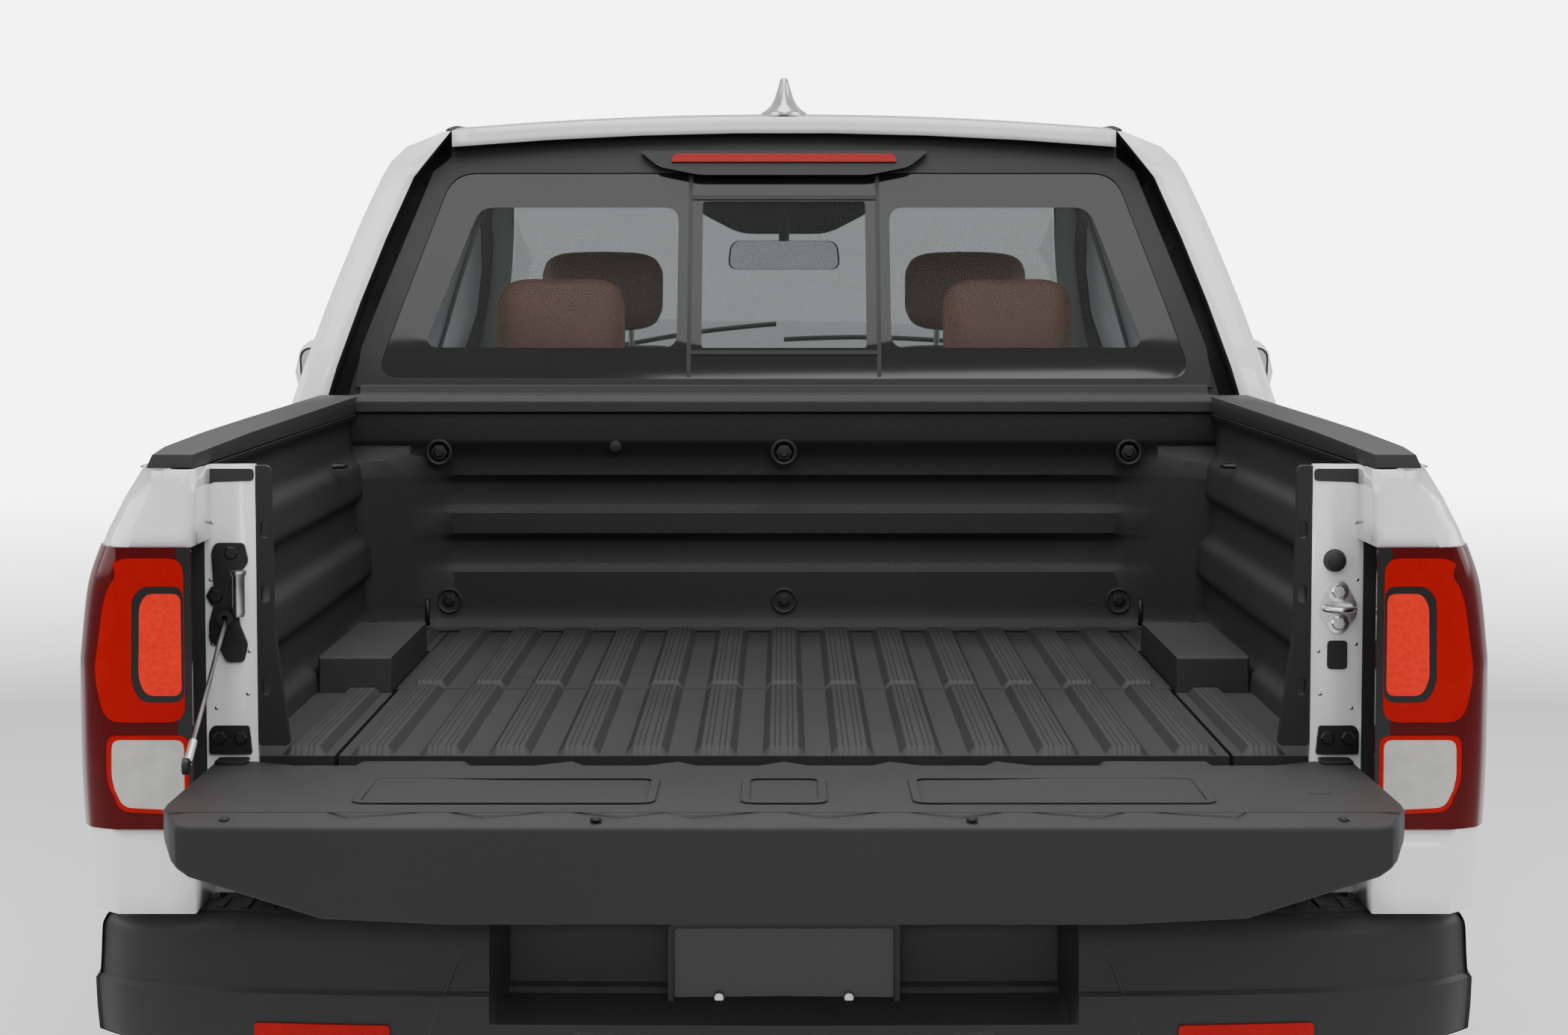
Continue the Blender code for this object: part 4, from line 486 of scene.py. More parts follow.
def turned(name, profile, centres, axis, look, body="root", sides=24, **finish):
    """Solids turned about an axis: a closed loop of (along, radius) swept round, one at each centre."""
    profile, centres = np.asarray(profile, float), np.asarray(centres, float).reshape(-1, 3)
    angle = np.linspace(0, 2 * math.pi, sides, endpoint=False)[:, None]
    ring = np.stack([profile[:, 0] + 0 * angle, profile[:, 1] * np.cos(angle), profile[:, 1] * np.sin(angle)],
                    axis=2)
    ring = ring[:, :, {"x": (0, 1, 2), "y": (1, 0, 2), "z": (1, 2, 0)}[axis]]
    n = len(profile)
    j, k = (a.ravel() for a in np.meshgrid(np.arange(sides), np.arange(n), indexing="ij"))
    quads = np.column_stack([j * n + k, j * n + (k + 1) % n, (j + 1) % sides * n + (k + 1) % n,
                             (j + 1) % sides * n + k])
    faces = (quads[None] + np.arange(len(centres))[:, None, None] * sides * n).reshape(-1, 4).tolist()
    return put(name, ring.reshape(1, -1, 3) + centres[:, None, :], faces, look, body, **finish)


BED_REAR, BED_FRONT, FLOOR_Z, RAIL_Z = 0.235, 1.815, 0.800, 1.235
BED_HALF, WALL_LEAN, WALL_OUT = 0.762, 0.045, 0.829
heights = np.linspace(FLOOR_Z, RAIL_Z - 0.024, 70)
up = (heights - FLOOR_Z) / (RAIL_Z - FLOOR_Z)
swage = np.tanh(3.2 * np.cos(up * 6 * math.pi)) / np.tanh(3.2)
inner = BED_HALF + WALL_LEAN * up - 0.009 * swage
wall = np.column_stack([np.append(inner, [WALL_OUT - 0.001] * 2), np.append(heights, heights[[-1, 0]])])
side_wall = carried(wall, "y", [BED_REAR + 0.014, BED_FRONT + 0.020])
loft("bed_side_wall_right", side_wall, bed_composite, smooth=50)
loft("bed_side_wall_left", side_wall * (-1, 1, 1), bed_composite, smooth=50)

x = np.concatenate([[-0.82, -0.79, -0.745, -0.70, -0.645], np.linspace(-0.62, 0.62, 9), [0.645, 0.70, 0.745,
    0.79, 0.82]])
z = np.array([FLOOR_Z, 0.806, 0.812, 0.822, 0.828, 0.85, 0.913, 0.917, 0.926, 0.930, 0.968, 0.972, 0.981, 0.985,
              1.024, 1.028, 1.037, 1.041, 1.078, 1.082, 1.091, 1.095, 1.125, 1.135, 1.150, 1.158, 1.163, 1.205,
              1.211])
band = curve((0.913, 0), (0.930, 0.014), (0.968, 0.014), (0.985, 0.0))(z) + curve((1.024, 0), (1.041, 0.014),
    (1.078, 0.014), (1.095, 0.0))(z)
ledge = curve((0.806, -0.012), (0.826, 0.0))(z) + curve((1.128, 0.0), (1.160, -0.020))(z)
across = np.clip((0.645 - np.abs(x)) / 0.025, 0, 1)
slant = -np.clip(np.abs(x) - 0.66, 0, 0.13) * 0.62
face = BED_FRONT + 0.016 + band[None] * across[:, None] + ledge[None] + slant[:,
    None] * np.clip((1.15 - z) / 0.03, 0, 1)[None]
front = np.stack([np.broadcast_to(x[:, None], face.shape), face, np.broadcast_to(z[None], face.shape)], axis=2)
back = np.stack([x, 0 * x + BED_FRONT + 0.05, 0 * x + z[-1]], axis=1)[:, None]
under = np.stack([x, 0 * x + BED_FRONT + 0.05, 0 * x + z[0]], axis=1)[:, None]
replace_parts(loft("bed_front_wall", np.concatenate([front, back, under], axis=1), bed_composite, smooth=50,
                 bevel=0.0015), "bed_liner")

black_bolt = made_of("black_bolt", (0.015, 0.015, 0.016), (0.03, 0.03, 0.031), 0.38, 0.08, patch=40.0,
                     Metallic=0.6)
holes = [(x, BED_FRONT + 0.010, z) for x, z in ((-0.645, 1.139), (0.0, 1.139), (0.645, 1.139))]
low = [(x, BED_FRONT + 0.016, z) for x, z in ((-0.63, 0.858), (0.0, 0.858), (0.63, 0.858))]
cup = [(-0.003, 0.019), (-0.0045, 0.022), (-0.003, 0.0245), (0.006, 0.025), (0.006, 0.018), (0.001, 0.018)]
turned("bolt_cups", cup, [(x, u - (0.018 if z > 1 else 0.0), z) for x, u, z in holes + low], "y", bed_composite)
screw = [(-0.005, 0.0001), (-0.005, 0.008), (-0.003, 0.010), (-0.001, 0.010), (-0.0005, 0.015), (0.001, 0.015),
         (0.001, 0.0001)]
turned("wall_bolts", screw, [(x, u - (0.018 if z > 1 else 0.0), z) for x, u, z in holes + low], "y", black_bolt,
       sides=6, smooth=20)
turned("wall_plug", [(-0.003, 0.0001), (-0.003, 0.006), (-0.001, 0.011), (0.003, 0.011), (0.003, 0.0001)],
       [(-0.315, BED_FRONT - 0.010, 1.150)], "y", bed_composite)


def tube(name, path, radius, look, body="root", sides=10, **finish):
    """Round bar along a path: a circle set square to the path's direction at each of its points."""
    path = np.asarray(path, float)
    way = np.gradient(path, axis=0)
    way /= np.linalg.norm(way, axis=1)[:, None]
    side = np.cross(way, (0.13, 0.31, 0.94))
    side /= np.linalg.norm(side, axis=1)[:, None]
    up = np.cross(side, way)
    angle = np.linspace(0, 2 * math.pi, sides, endpoint=False)
    rows = path[:, None] + radius * (side[:, None] * np.cos(angle)[None, :, None] + up[:,
        None] * np.sin(angle)[None, :, None])
    return loft(name, rows, look, body, **finish)


turn = np.linspace(0, math.pi, 13)
for hand, label in ((-1, "left"), (1, "right")):
    hook = np.column_stack([0 * turn + hand * 0.665, BED_FRONT - 0.035 - 0.014 * np.sin(turn),
                            FLOOR_Z + 0.020 + 0.022 * (1 - np.cos(turn))])
    tube(f"tie_down_{label}", hook, 0.0045, black_bolt, smooth=60)
    ring = np.column_stack([hand * (0.792 - 0.020 * np.sin(turn)), 1.45 + 0.026 * np.cos(turn),
                            0 * turn + 1.135])
    tube(f"tie_ring_{label}", ring, 0.004, black_bolt, smooth=60)

# ---------------------------------------------------------------- bed floor and trunk lid
# Thirteen long ribs with fine lengthwise grooves stiffen the floor and the lid of the trunk in
# it, and their ends are run out over a short ramp. A shorter rib runs beside each wheelhouse.

RIB_PITCH, LID_HALF, LID_FRONT = 0.0965, 0.625, 0.970


def ribbed(first, last, low_half, high_half, rear, front, under=0.770):
    """Slab whose top is a row of trapezoid ribs, each with four grooves, fading out over 16 mm at its ends."""
    t = np.array([-0.030, -0.0295, -0.0205, -0.0175, -0.0140, -0.0130, -0.0120, -0.0090, -0.0065, -0.0055,
                  -0.0045, -0.0015])
    h = np.array([0.0, 0.0006, 0.0110, 0.0120, 0.0120, 0.0110, 0.0120, 0.0120, 0.0120, 0.0110, 0.0120, 0.0120])
    t, h = np.concatenate([t, -t[::-1]]), np.concatenate([h, h[::-1]])
    centres = np.arange(first, last + 1) * RIB_PITCH
    top_x = np.concatenate([[low_half], (centres[:, None] + t).ravel(), [high_half]])
    top_h = np.concatenate([[0.0], np.tile(h, len(centres)), [0.0]])
    keep = (top_x >= low_half) & (top_x <= high_half)
    top_x, top_h = top_x[keep], top_h[keep]
    stations = np.array([rear, rear + 0.006, rear + 0.022, rear + 0.026, front - 0.026, front - 0.022,
                         front - 0.006, front])
    fade = np.array([0.0, 0.0, 0.93, 1.0, 1.0, 0.93, 0.0, 0.0])
    rows = []
    for station, share in zip(stations, fade):
        top = np.column_stack([top_x, np.full(len(top_x), station), FLOOR_Z + top_h * share])
        rows.append(np.concatenate([top, [(high_half, station, under), (low_half, station, under)]]))
    return np.array(rows)


loft("floor_front", ribbed(-6, 6, -LID_HALF - 0.006, LID_HALF + 0.006, LID_FRONT + 0.006, BED_FRONT),
     bed_composite, smooth=28)
for hand, label in ((1, "right"), (-1, "left")):
    loft(f"floor_strip_{label}", ribbed(7, 7, LID_HALF + 0.006, 0.754, BED_REAR, 0.925) * (hand, 1, 1),
         bed_composite, smooth=28)
    loft(f"floor_corner_{label}", ribbed(7, 7, LID_HALF + 0.004, 0.754, 1.51, BED_FRONT) * (hand, 1, 1),
         bed_composite, smooth=28)
rim = np.array([(-0.69, 0.245), (0.69, 0.245), (0.69, 1.04), (-0.69, 1.04)])
hole = np.array([(-0.57, 0.285), (0.57, 0.285), (0.57, 0.94), (-0.57, 0.94)])
ledge = np.concatenate([carried(rim, "z", [0.748, 0.768]), carried(hole, "z", [0.768, 0.748])])
ledge = np.concatenate([ledge, ledge[:1]])
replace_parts(loft("floor_ledge", ledge, bed_composite, ends=False), "bed_floor")
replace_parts(loft("trunk_lid_top", ribbed(-6, 6, -LID_HALF, LID_HALF, BED_REAR, LID_FRONT, 0.776), bed_composite,
                 "trunk_lid", smooth=28), "trunk_lid")
dimple = [(0.0012, 0.0001), (0.0012, 0.013), (0.0004, 0.0155), (-0.003, 0.0155), (-0.003, 0.0001)]
turned("floor_plugs", dimple, [(x, 1.14, FLOOR_Z) for x in (-0.435, 0.435)], "z", bed_composite)
turned("lid_hinge_plugs", dimple, [(x, LID_FRONT - 0.03, FLOOR_Z) for x in (-0.627 + 0.05, 0.627 - 0.05)], "z",
       bed_composite, "trunk_lid")
carry("trunk_bin", bed_composite, bevel=0.006)

# ---------------------------------------------------------------- wheelhouses and rail caps
# The wheelhouses are moulded over the rear wheels with generous corners. Grained black caps run
# along both rails and join in a stepped header below the rear window.

for hand in ("left", "right"):
    carry(f"wheelhouse_{hand}", bed_composite, bevel=0.022)
rail_cap = made_of("rail_cap", (0.020, 0.020, 0.021), (0.030, 0.030, 0.031), 0.55, 0.05, patch=2.0, grain=480.0,
                   bump=0.5,
                   relief="Pebble", depth=0.0006, dust=0.03, Specular_IOR_Level=0.28)
carry("bed_rail_caps", rail_cap, bevel=0.006)
step = [(BED_FRONT - 0.013, 1.214), (BED_FRONT - 0.013, 1.233), (BED_FRONT - 0.004, 1.2445), (BED_FRONT + 0.060,
    1.2465),
        (BED_FRONT + 0.064, 1.262), (BED_FRONT + 0.068, 1.262), (BED_FRONT + 0.068, 1.214)]
loft("header_step", carried(step, "x", [-0.800, 0.800]), rail_cap, bevel=0.002)

# ---------------------------------------------------------------- tail jambs
# White steel posts face the closed tailgate. Black pillar trims stand inboard of them, and they
# carry the latch striker and its bumper on the right, the swing hinge and cable on the left.

def plate(name, outline, lay, thick, look, body="root", holes=(), step=0.03, **finish):
    """Flat pattern with holes, filled with triangles and laid on a surface: lay(a, b, lift) gives the
    point above the pattern's point, and the solid runs from lift 0 to thick."""
    loops = []
    for loop in (outline, *holes):
        loop = np.array(loop, float)
        nxt = np.roll(loop, -1, axis=0)
        parts = np.maximum(1, np.ceil(np.hypot(*(nxt - loop).T) / step - 1e-6)).astype(int)
        loops.append(np.concatenate([a + (b - a) * np.arange(n)[:, None] / n for a, b, n in zip(loop, nxt,
            parts)]))

    def within(p, loop):
        a, b = loop[:, None], np.roll(loop, -1, axis=0)[:, None]
        rise = np.where(b[..., 1] == a[..., 1], 1, b[..., 1] - a[..., 1])
        hit = ((a[..., 1] > p[None, :, 1]) != (b[..., 1] > p[None, :, 1]))
        return np.sum(hit & (p[None, :, 0] < a[..., 0] + (p[None, :, 1] - a[..., 1]) * (b[..., 0] - a[...,
            0]) / rise), axis=0) % 2 == 1

    lo, hi = loops[0].min(axis=0), loops[0].max(axis=0)
    fill = np.stack(np.meshgrid(*(np.arange(a + step / 2, b, step) for a, b in zip(lo, hi))),
                    axis=-1).reshape(-1, 2)
    every = np.concatenate(loops)
    gap = np.array([np.min(np.hypot(*(every - p).T)) for p in fill]) if len(fill) else np.zeros(0)
    good = (gap > step * 0.45) & within(fill, loops[0]) if len(fill) else gap > 0
    for loop in loops[1:]:
        good &= ~within(fill, loop)
    first = np.cumsum([0] + [len(loop) for loop in loops])
    edges = [(f + k, f + (k + 1) % len(loop)) for f, loop in zip(first, loops) for k in range(len(loop))]
    spots = np.concatenate([every, fill[good]]) if len(fill) else every
    verts, _, tris, *_ = delaunay_2d_cdt([Vector(p) for p in spots], edges, [], 0, 1e-6)
    flat = np.array([tuple(v) for v in verts])
    tris = np.array(tris)
    centre = flat[tris].mean(axis=1)
    use = within(centre, loops[0])
    for loop in loops[1:]:
        use &= ~within(centre, loop)
    tris, n = tris[use], len(flat)
    sides = np.concatenate([tris[:, [0, 1]], tris[:, [1, 2]], tris[:, [2, 0]]])
    key = {tuple(e) for e in sides.tolist()}
    faces = tris.tolist() + (tris[:, ::-1] + n).tolist() + [(b, a, a + n, b + n) for a,
        b in key if (b, a) not in key]
    points = np.concatenate([np.stack(np.broadcast_arrays(*lay(flat[:, 0], flat[:, 1], lift)),
                                      axis=1) for lift in (thick, 0.0)])
    return put(name, points, faces, look, body, **finish)


def on_post(side, station=0.217):
    """Lays a pattern of (half-width, height) on the rear face of a post; lift is rearward."""
    return lambda a, b, lift: (side * a, station - lift, b)


post_zinc = made_of("post_zinc", (0.62, 0.63, 0.64), (0.78, 0.79, 0.80), 0.25, 0.06, patch=22.0, grain=300.0,
                    Metallic=1.0)
# Black rubber for channels, stops, gaps, ditches and wipers; the strip on each tail post made in it is painted shadow.
rubber_and_painted_shadow = made_of("rubber_and_painted_shadow", (0.008, 0.008, 0.008), (0.014, 0.014, 0.014), 0.65, 0.08, grain=700.0)
for side, label in ((-1, "left"), (1, "right")):
    # The black strip along each post's outer edge and top is painted shadow: it stands in for the dark gap between the
    # post and the tail lamp.
    shadow_gap = [(0.806, 0.63), (0.8285, 0.63), (0.8285, 1.205), (0.736, 1.205), (0.736, 1.188), (0.796, 1.186),
            (0.806, 1.170)]
    plate(f"jamb_shadow_gap_{label}", rounded(shadow_gap, 0.006), on_post(side), 0.0015, rubber_and_painted_shadow)
    trim = rounded([(0.690, 0.817), (0.7345, 0.817), (0.7345, 1.160), (0.800, 1.200), (0.800, 1.209),
                    (0.714, 1.209), (0.711, 0.98)], 0.008)
    plate(f"pillar_trim_{label}", trim, on_post(side, 0.235), 0.016, bed_composite, bevel=0.003,
          holes=[rounded([(0.722 - 0.006, z - 0.012), (0.722 + 0.006, z - 0.012), (0.722 + 0.006, z + 0.012),
                          (0.722 - 0.006, z + 0.012)], 0.006) for z in (1.03, 0.90, 1.12)])
    bracket = rounded([(0.742, 0.806), (0.802, 0.806), (0.802, 0.838), (0.796, 0.846), (0.746, 0.846)], 0.004)
    plate(f"gate_hinge_bracket_{label}", bracket, on_post(side), 0.006, black_bolt, bevel=0.001)
    turned(f"gate_hinge_bolts_{label}", screw, [(side * x, 0.212, 0.829) for x in (0.758, 0.787)], "y",
           black_bolt, sides=6, smooth=20)
    dots = [(side * x, 0.2168, z) for x, z in ((0.795, 1.13), (0.798, 1.05), (0.745, 0.95), (0.748, 0.89),
                                               (0.792, 0.87), (0.797, 0.96))]
    turned(f"post_pips_{label}", [(-0.0008, 0.0001), (-0.0006, 0.002), (0.0, 0.0028), (0.0, 0.0001)], dots, "y",
           zinc_steel, sides=10)
striker = rounded([(0.746, 1.000), (0.765, 0.975), (0.778, 0.975), (0.797, 1.000), (0.797, 1.018),
                   (0.780, 1.048), (0.763, 1.048), (0.746, 1.018)], 0.006)
plate("striker_plate", striker, on_post(1), 0.004, post_zinc, bevel=0.0008)
turn = np.linspace(0, math.pi, 15)
tube("striker_bar", np.column_stack([0.7715 - 0.021 * np.cos(turn), 0.212 - 0.026 * np.sin(turn) ** 0.7,
                                     0 * turn + 1.010]), 0.0045, post_zinc, smooth=60)
turned("striker_screws", screw, [(0.7715, 0.2125, z) for z in (1.034, 0.990)], "y", post_zinc, sides=12,
       smooth=20)
slot_hole = rounded([(0.757, 0.925), (0.785, 0.925), (0.785, 0.965), (0.757, 0.965)], 0.006)
plate("striker_slot", slot_hole, on_post(1), 0.002, rubber_and_painted_shadow)
stop = [(-0.016, 0.0001), (-0.016, 0.008), (-0.013, 0.013), (-0.004, 0.0145), (0.0, 0.016), (0.004, 0.016),
        (0.004, 0.0001)]
turned("gate_stop", stop, [(0.766, 0.213, 1.077)], "y", rubber_and_painted_shadow)
arm = rounded([(0.750, 1.102), (0.790, 1.102), (0.796, 1.09), (0.792, 1.02), (0.800, 0.99), (0.800, 0.965),
               (0.786, 0.955),
               (0.776, 0.935), (0.752, 0.935), (0.746, 0.96), (0.758, 0.99), (0.756, 1.06), (0.744, 1.075)],
               0.006)
plate("swing_hinge_plate", arm, on_post(-1), 0.007, black_bolt, bevel=0.0012)
turned("swing_hinge_bolts", screw, [(-0.768, 0.211, 1.088), (-0.789, 0.211, 1.028), (-0.786, 0.211, 0.972)],
       "y", black_bolt, sides=6, smooth=20)
pin = [(-0.030, 0.0001), (-0.030, 0.008), (-0.024, 0.0095), (0.026, 0.0095), (0.030, 0.012), (0.034, 0.012),
       (0.036, 0.0001)]
turned("swing_hinge_pin", pin, [(-0.757, 0.199, 1.030)], "z", zinc_steel)

# ---------------------------------------------------------------- tailgate
# The gate has a white outer skin, a moulded inner panel with three shallow wells, and a dark cap
# along its free edge. A steel cable holds it level from the left post.

gate = carry("tailgate", bed_composite, "tailgate", bevel=0.005)
gate.data.materials.append(white_paint)
CAP_LINE = -2.775
parted = bmesh.new()
parted.from_mesh(gate.data)
bmesh.ops.bisect_plane(parted, geom=parted.verts[:] + parted.edges[:] + parted.faces[:], plane_co=(0, CAP_LINE,
    0), plane_no=(0, 1, 0))
parted.to_mesh(gate.data)
parted.free()
under = [p.index for p in gate.data.polygons if p.normal.z < -0.75 and p.center.y > CAP_LINE]
pick = np.zeros(len(gate.data.polygons), int)
pick[under] = 1
gate.data.polygons.foreach_set("material_index", pick)


def well(x0, x1, u0, u1):
    """Rim of a shallow well pressed in the inner panel: a rounded frame standing 2 mm proud."""
    out = rounded([(x0, u0), (x1, u0), (x1, u1), (x0, u1)], 0.025)
    inn = rounded([(x0 + 0.012, u0 + 0.012), (x1 - 0.012, u0 + 0.012), (x1 - 0.012, u1 - 0.012),
                   (x0 + 0.012, u1 - 0.012)], 0.018)
    return out, inn


def on_gate(a, b, lift):
    """Lays a pattern of (x, station) on the lowered gate's inner face; lift is upward."""
    return a, b, FLOOR_Z + lift


for label, x0, x1 in (("left", -0.555, -0.165), ("middle", -0.056, 0.056), ("right", 0.165, 0.555)):
    out, inn = well(x0, x1, -0.185, 0.030)
    plate(f"gate_well_{label}", out, on_gate, 0.003, bed_composite, "tailgate", holes=[inn], bevel=0.0014)
turned("gate_plugs", dimple, [(x, u, FLOOR_Z) for x, u in ((-0.70, -0.07), (-0.385, 0.115), (0.375, 0.115),
                                                           (0.70, -0.09))],
       "z", bed_composite, "tailgate")
turned("gate_cap_screws", [(0.001, 0.0001), (0.001, 0.006), (-0.001, 0.0075), (-0.003, 0.0075),
                           (-0.003, 0.0001)],
       [(x, -0.272, FLOOR_Z - 0.003) for x in (-0.70, -0.235, 0.235, 0.70)], "z", black_bolt, "tailgate",
       sides=12)
seam_line = rounded([(-0.785, -0.249), (0.785, -0.249), (0.785, -0.246), (-0.785, -0.246)], 0.001)
plate("gate_cap_seam", seam_line, on_gate, 0.0006, rubber_and_painted_shadow, "tailgate", step=0.2)
for side, label in ((-1, "left"), (1, "right")):
    ear = rounded([(side * 0.742, 0.150), (side * 0.786, 0.150), (side * 0.786, 0.200), (side * 0.742, 0.200)],
                  0.008)
    plate(f"gate_ear_{label}", ear, on_gate, 0.004, black_bolt, "tailgate", bevel=0.001)

cable_steel = made_of("cable_steel", (0.10, 0.10, 0.105), (0.20, 0.20, 0.21), 0.42, 0.08, patch=60.0,
                      grain=900.0, bump=0.4, Metallic=0.9)
s = np.linspace(0, 1, 24)[:, None]
stay_top, stay_foot = np.array([-0.775, 0.199, 0.995]), np.array([-0.7795, -0.085, 0.835])
strand = stay_top + (stay_foot - stay_top) * s
angle, twist = np.linspace(0, 2 * math.pi, 12, endpoint=False)[None, :], 14 * math.pi * s
swell = 0.0030 + 0.0005 * np.cos(3 * (angle + twist))
way = (stay_foot - stay_top) / np.linalg.norm(stay_foot - stay_top)
across = np.cross(way, (1.0, 0, 0)) / np.linalg.norm(np.cross(way, (1.0, 0, 0)))
other = np.cross(way, across)
rows = strand[:, None] + swell[..., None] * (np.cos(angle)[..., None] * across + np.sin(angle)[...,
    None] * other)
cable = loft("gate_cable", rows, cable_steel, None, smooth=60, stands_for=["tailgate_cable"])
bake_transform(cable)
loft("cable_sleeve", carried(np.column_stack([0.0062 * np.cos(angle[0]), 0.0062 * np.sin(angle[0])]), "z",
                             [0.0, 0.045])
              @ np.column_stack([across, other, way]).T + (stay_foot - way * 0.050), zinc_steel, "tailgate",
              smooth=60)
lug = [(-0.004, 0.004), (-0.004, 0.011), (0.004, 0.011), (0.004, 0.004)]
turned("cable_lug_top", lug, [tuple(stay_top + (0, -0.004, 0.004))], "y", black_bolt)
turned("cable_lug_foot", lug, [tuple(stay_foot + (0.0, -0.008, 0.0))], "x", black_bolt, "tailgate")

# ---------------------------------------------------------------- tail lights
# Each lamp is one lens that wraps the body's rear corner: dark red with a lit C-shaped guide
# round the stop lamp, and a clear reversing lamp with prisms below.

LAMP_LOW, LAMP_HIGH, CORNER_IN = 0.726, 1.108, 0.797
trace_u = np.concatenate([[0.0585], np.linspace(0.0600, 0.2345, 90)])
trace_x = bed_side(trace_u, 0.9) + 0.002
trace = (trace_x[0] - CORNER_IN) + np.concatenate([[0], np.cumsum(np.hypot(np.diff(trace_x),
    np.diff(trace_u)))])


def on_lamp(side, base=0.0):
    """Lays a pattern of (distance round the corner, height) on the lamp: flat rearward face, then
    along the body side; lift is outward."""
    def lay(a, b, lift):
        lift = lift + base
        u = np.interp(a, trace, trace_u)
        flat = a < trace[0]
        run = np.clip((a - trace[0] + 0.03) / 0.06, 0, 1)
        x = np.where(flat, CORNER_IN + a, bed_side(u, b) + 0.002 + (a * 0))
        x = np.minimum(x, CORNER_IN + a)
        return side * (x + lift * run), np.where(flat, 0.0585, u) - lift * (1 - 0.7 * run), b
    return lay


def lens(name, dark, light, glow, strength, grain=220.0, relief="Fine", bump=0.15):
    """Coloured lens, glossy, with an emitted glow that varies with its prisms: the glow of a lamp behind it, and on the
    reflectors painted light, as no lamp is there.
    """
    material = made_of(name, dark, light, 0.12, 0.04, patch=30.0, grain=grain, bump=bump, relief=relief,
                       Specular_IOR_Level=0.15)
    nodes, links, shader = tree_of(material)
    vary = next(n for n in nodes if n.type == "GROUP")
    lit = nodes.new("ShaderNodeMix")
    lit.data_type = "RGBA"
    lit.inputs["A"].default_value = (*(0.45 * g for g in glow), 1.0)
    lit.inputs["B"].default_value = (*glow, 1.0)
    links.new(vary.outputs["Pebble"], lit.inputs["Factor"])
    links.new(lit.outputs["Result"], shader.inputs["Emission Color"])
    shader.inputs["Emission Strength"].default_value = strength
    return material


deep_red = lens("deep_red_lens", (0.050, 0.0, 0.0005), (0.080, 0.0, 0.001), (0.30, 0.0, 0.0), 0.02)
guide_red = lens("guide_red_lens", (0.27, 0.0, 0.0), (0.34, 0.0, 0.0), (1.0, 0.0, 0.0), 0.05)
stop_red = lens("stop_red_lens", (0.50, 0.003, 0.001), (0.62, 0.008, 0.003), (1.0, 0.020, 0.004), 0.30,
                grain=130.0, relief="Pebble", bump=0.8)
reverse_clear = lens("reverse_clear_lens", (0.30, 0.295, 0.285), (0.50, 0.49, 0.47), (0.9, 0.9, 0.88), 0.02,
                     grain=150.0, relief="Pebble", bump=0.9)
full = trace[-1]
for side, label in ((-1, "left"), (1, "right")):
    body = rounded([(0.001, LAMP_LOW), (full - 0.030, LAMP_LOW), (full, LAMP_HIGH), (0.001, LAMP_HIGH)], 0.008)
    plate(f"lamp_body_{label}", body, on_lamp(side, -0.012), 0.012, deep_red, step=0.008,
          stands_for=[f"tail_light_{label}"])
    edge = rounded([(0.000, LAMP_LOW), (0.020, LAMP_LOW), (0.020, LAMP_HIGH), (0.000, LAMP_HIGH)], 0.004)
    plate(f"lamp_inner_edge_{label}", edge, on_lamp(side), 0.0012, gloss_black, step=0.012)
    out = rounded([(0.010, 0.872), (0.118, 0.872), (0.134, 0.93), (0.128, 1.05), (0.104, 1.094),
                   (0.010, 1.094)], 0.022)
    inn = rounded([(0.0105, 0.899), (0.070, 0.899), (0.082, 0.925), (0.080, 1.040), (0.066, 1.056),
                   (0.0105, 1.056)], 0.016)
    plate(f"lamp_guide_{label}", out, on_lamp(side), 0.0020, guide_red, holes=[inn], step=0.008)
    plate(f"lamp_well_{label}", inn, on_lamp(side), 0.0008, gloss_black, step=0.010)
    stop_shape = rounded([(0.014, 0.908), (0.062, 0.908), (0.072, 0.93), (0.070, 1.030), (0.060, 1.046),
                          (0.014, 1.046)], 0.012)
    plate(f"stop_lamp_{label}", stop_shape, on_lamp(side), 0.0026, stop_red, step=0.008)
    rim_out = rounded([(0.006, 0.746), (0.098, 0.750), (0.118, 0.79), (0.116, 0.854), (0.006, 0.854)], 0.014)
    rim_in = rounded([(0.012, 0.752), (0.095, 0.756), (0.111, 0.792), (0.109, 0.848), (0.012, 0.848)], 0.012)
    plate(f"reverse_rim_{label}", rim_out, on_lamp(side), 0.0018, guide_red, holes=[rim_in], step=0.010)
    plate(f"reverse_lamp_{label}", rim_in, on_lamp(side), 0.0014, reverse_clear, step=0.008)

# ---------------------------------------------------------------- rear bumper
# Grained black cover with a crease below its top, side returns to the arches, ribbed step pads, a
# recess for the blank plate with a step in it, and two reflectors.

TAIL_PLAN = curve((0.0, 0.0), (0.50, 0.012), (0.80, 0.045), (0.90, 0.085), (0.945, 0.135))
BUMPER_TOP, BUMPER_FRONT = 0.606, 0.764
bumper_half = SIDE_HALF - 0.026
xs = np.concatenate([np.linspace(0, 0.36, 10), [0.375, 0.384, 0.388, 0.396], np.linspace(0.43, 0.90, 20),
                     [0.92, 0.935, 0.945, bumper_half]])
path = np.column_stack([xs, TAIL_PLAN(xs)])
side_u = np.linspace(0.15, BUMPER_FRONT, 22)
path = np.concatenate([path, np.column_stack([bumper_half + 0.020 * np.clip((side_u - 0.14) / 0.2, 0, 1),
                                              side_u])])
run = np.concatenate([[0], np.cumsum(np.hypot(*np.diff(path, axis=0).T))])
z_rows = np.array([0.335, 0.345, 0.40, 0.418, 0.428, 0.436, 0.47, 0.50, 0.508, 0.514, 0.54, 0.575, 0.583, 0.588,
                   0.594, 0.602, 0.606])
push = curve((0.335, 0.060), (0.345, 0.052), (0.418, 0.046), (0.436, 0.004), (0.508, 0.000), (0.514, 0.006),
             (0.58, 0.010), (0.594, 0.016), (0.606, 0.034))(z_rows)
inside_well = np.clip((0.392 - path[:, 0]) / 0.012, 0, 1) * (path[:, 1] < 0.1)
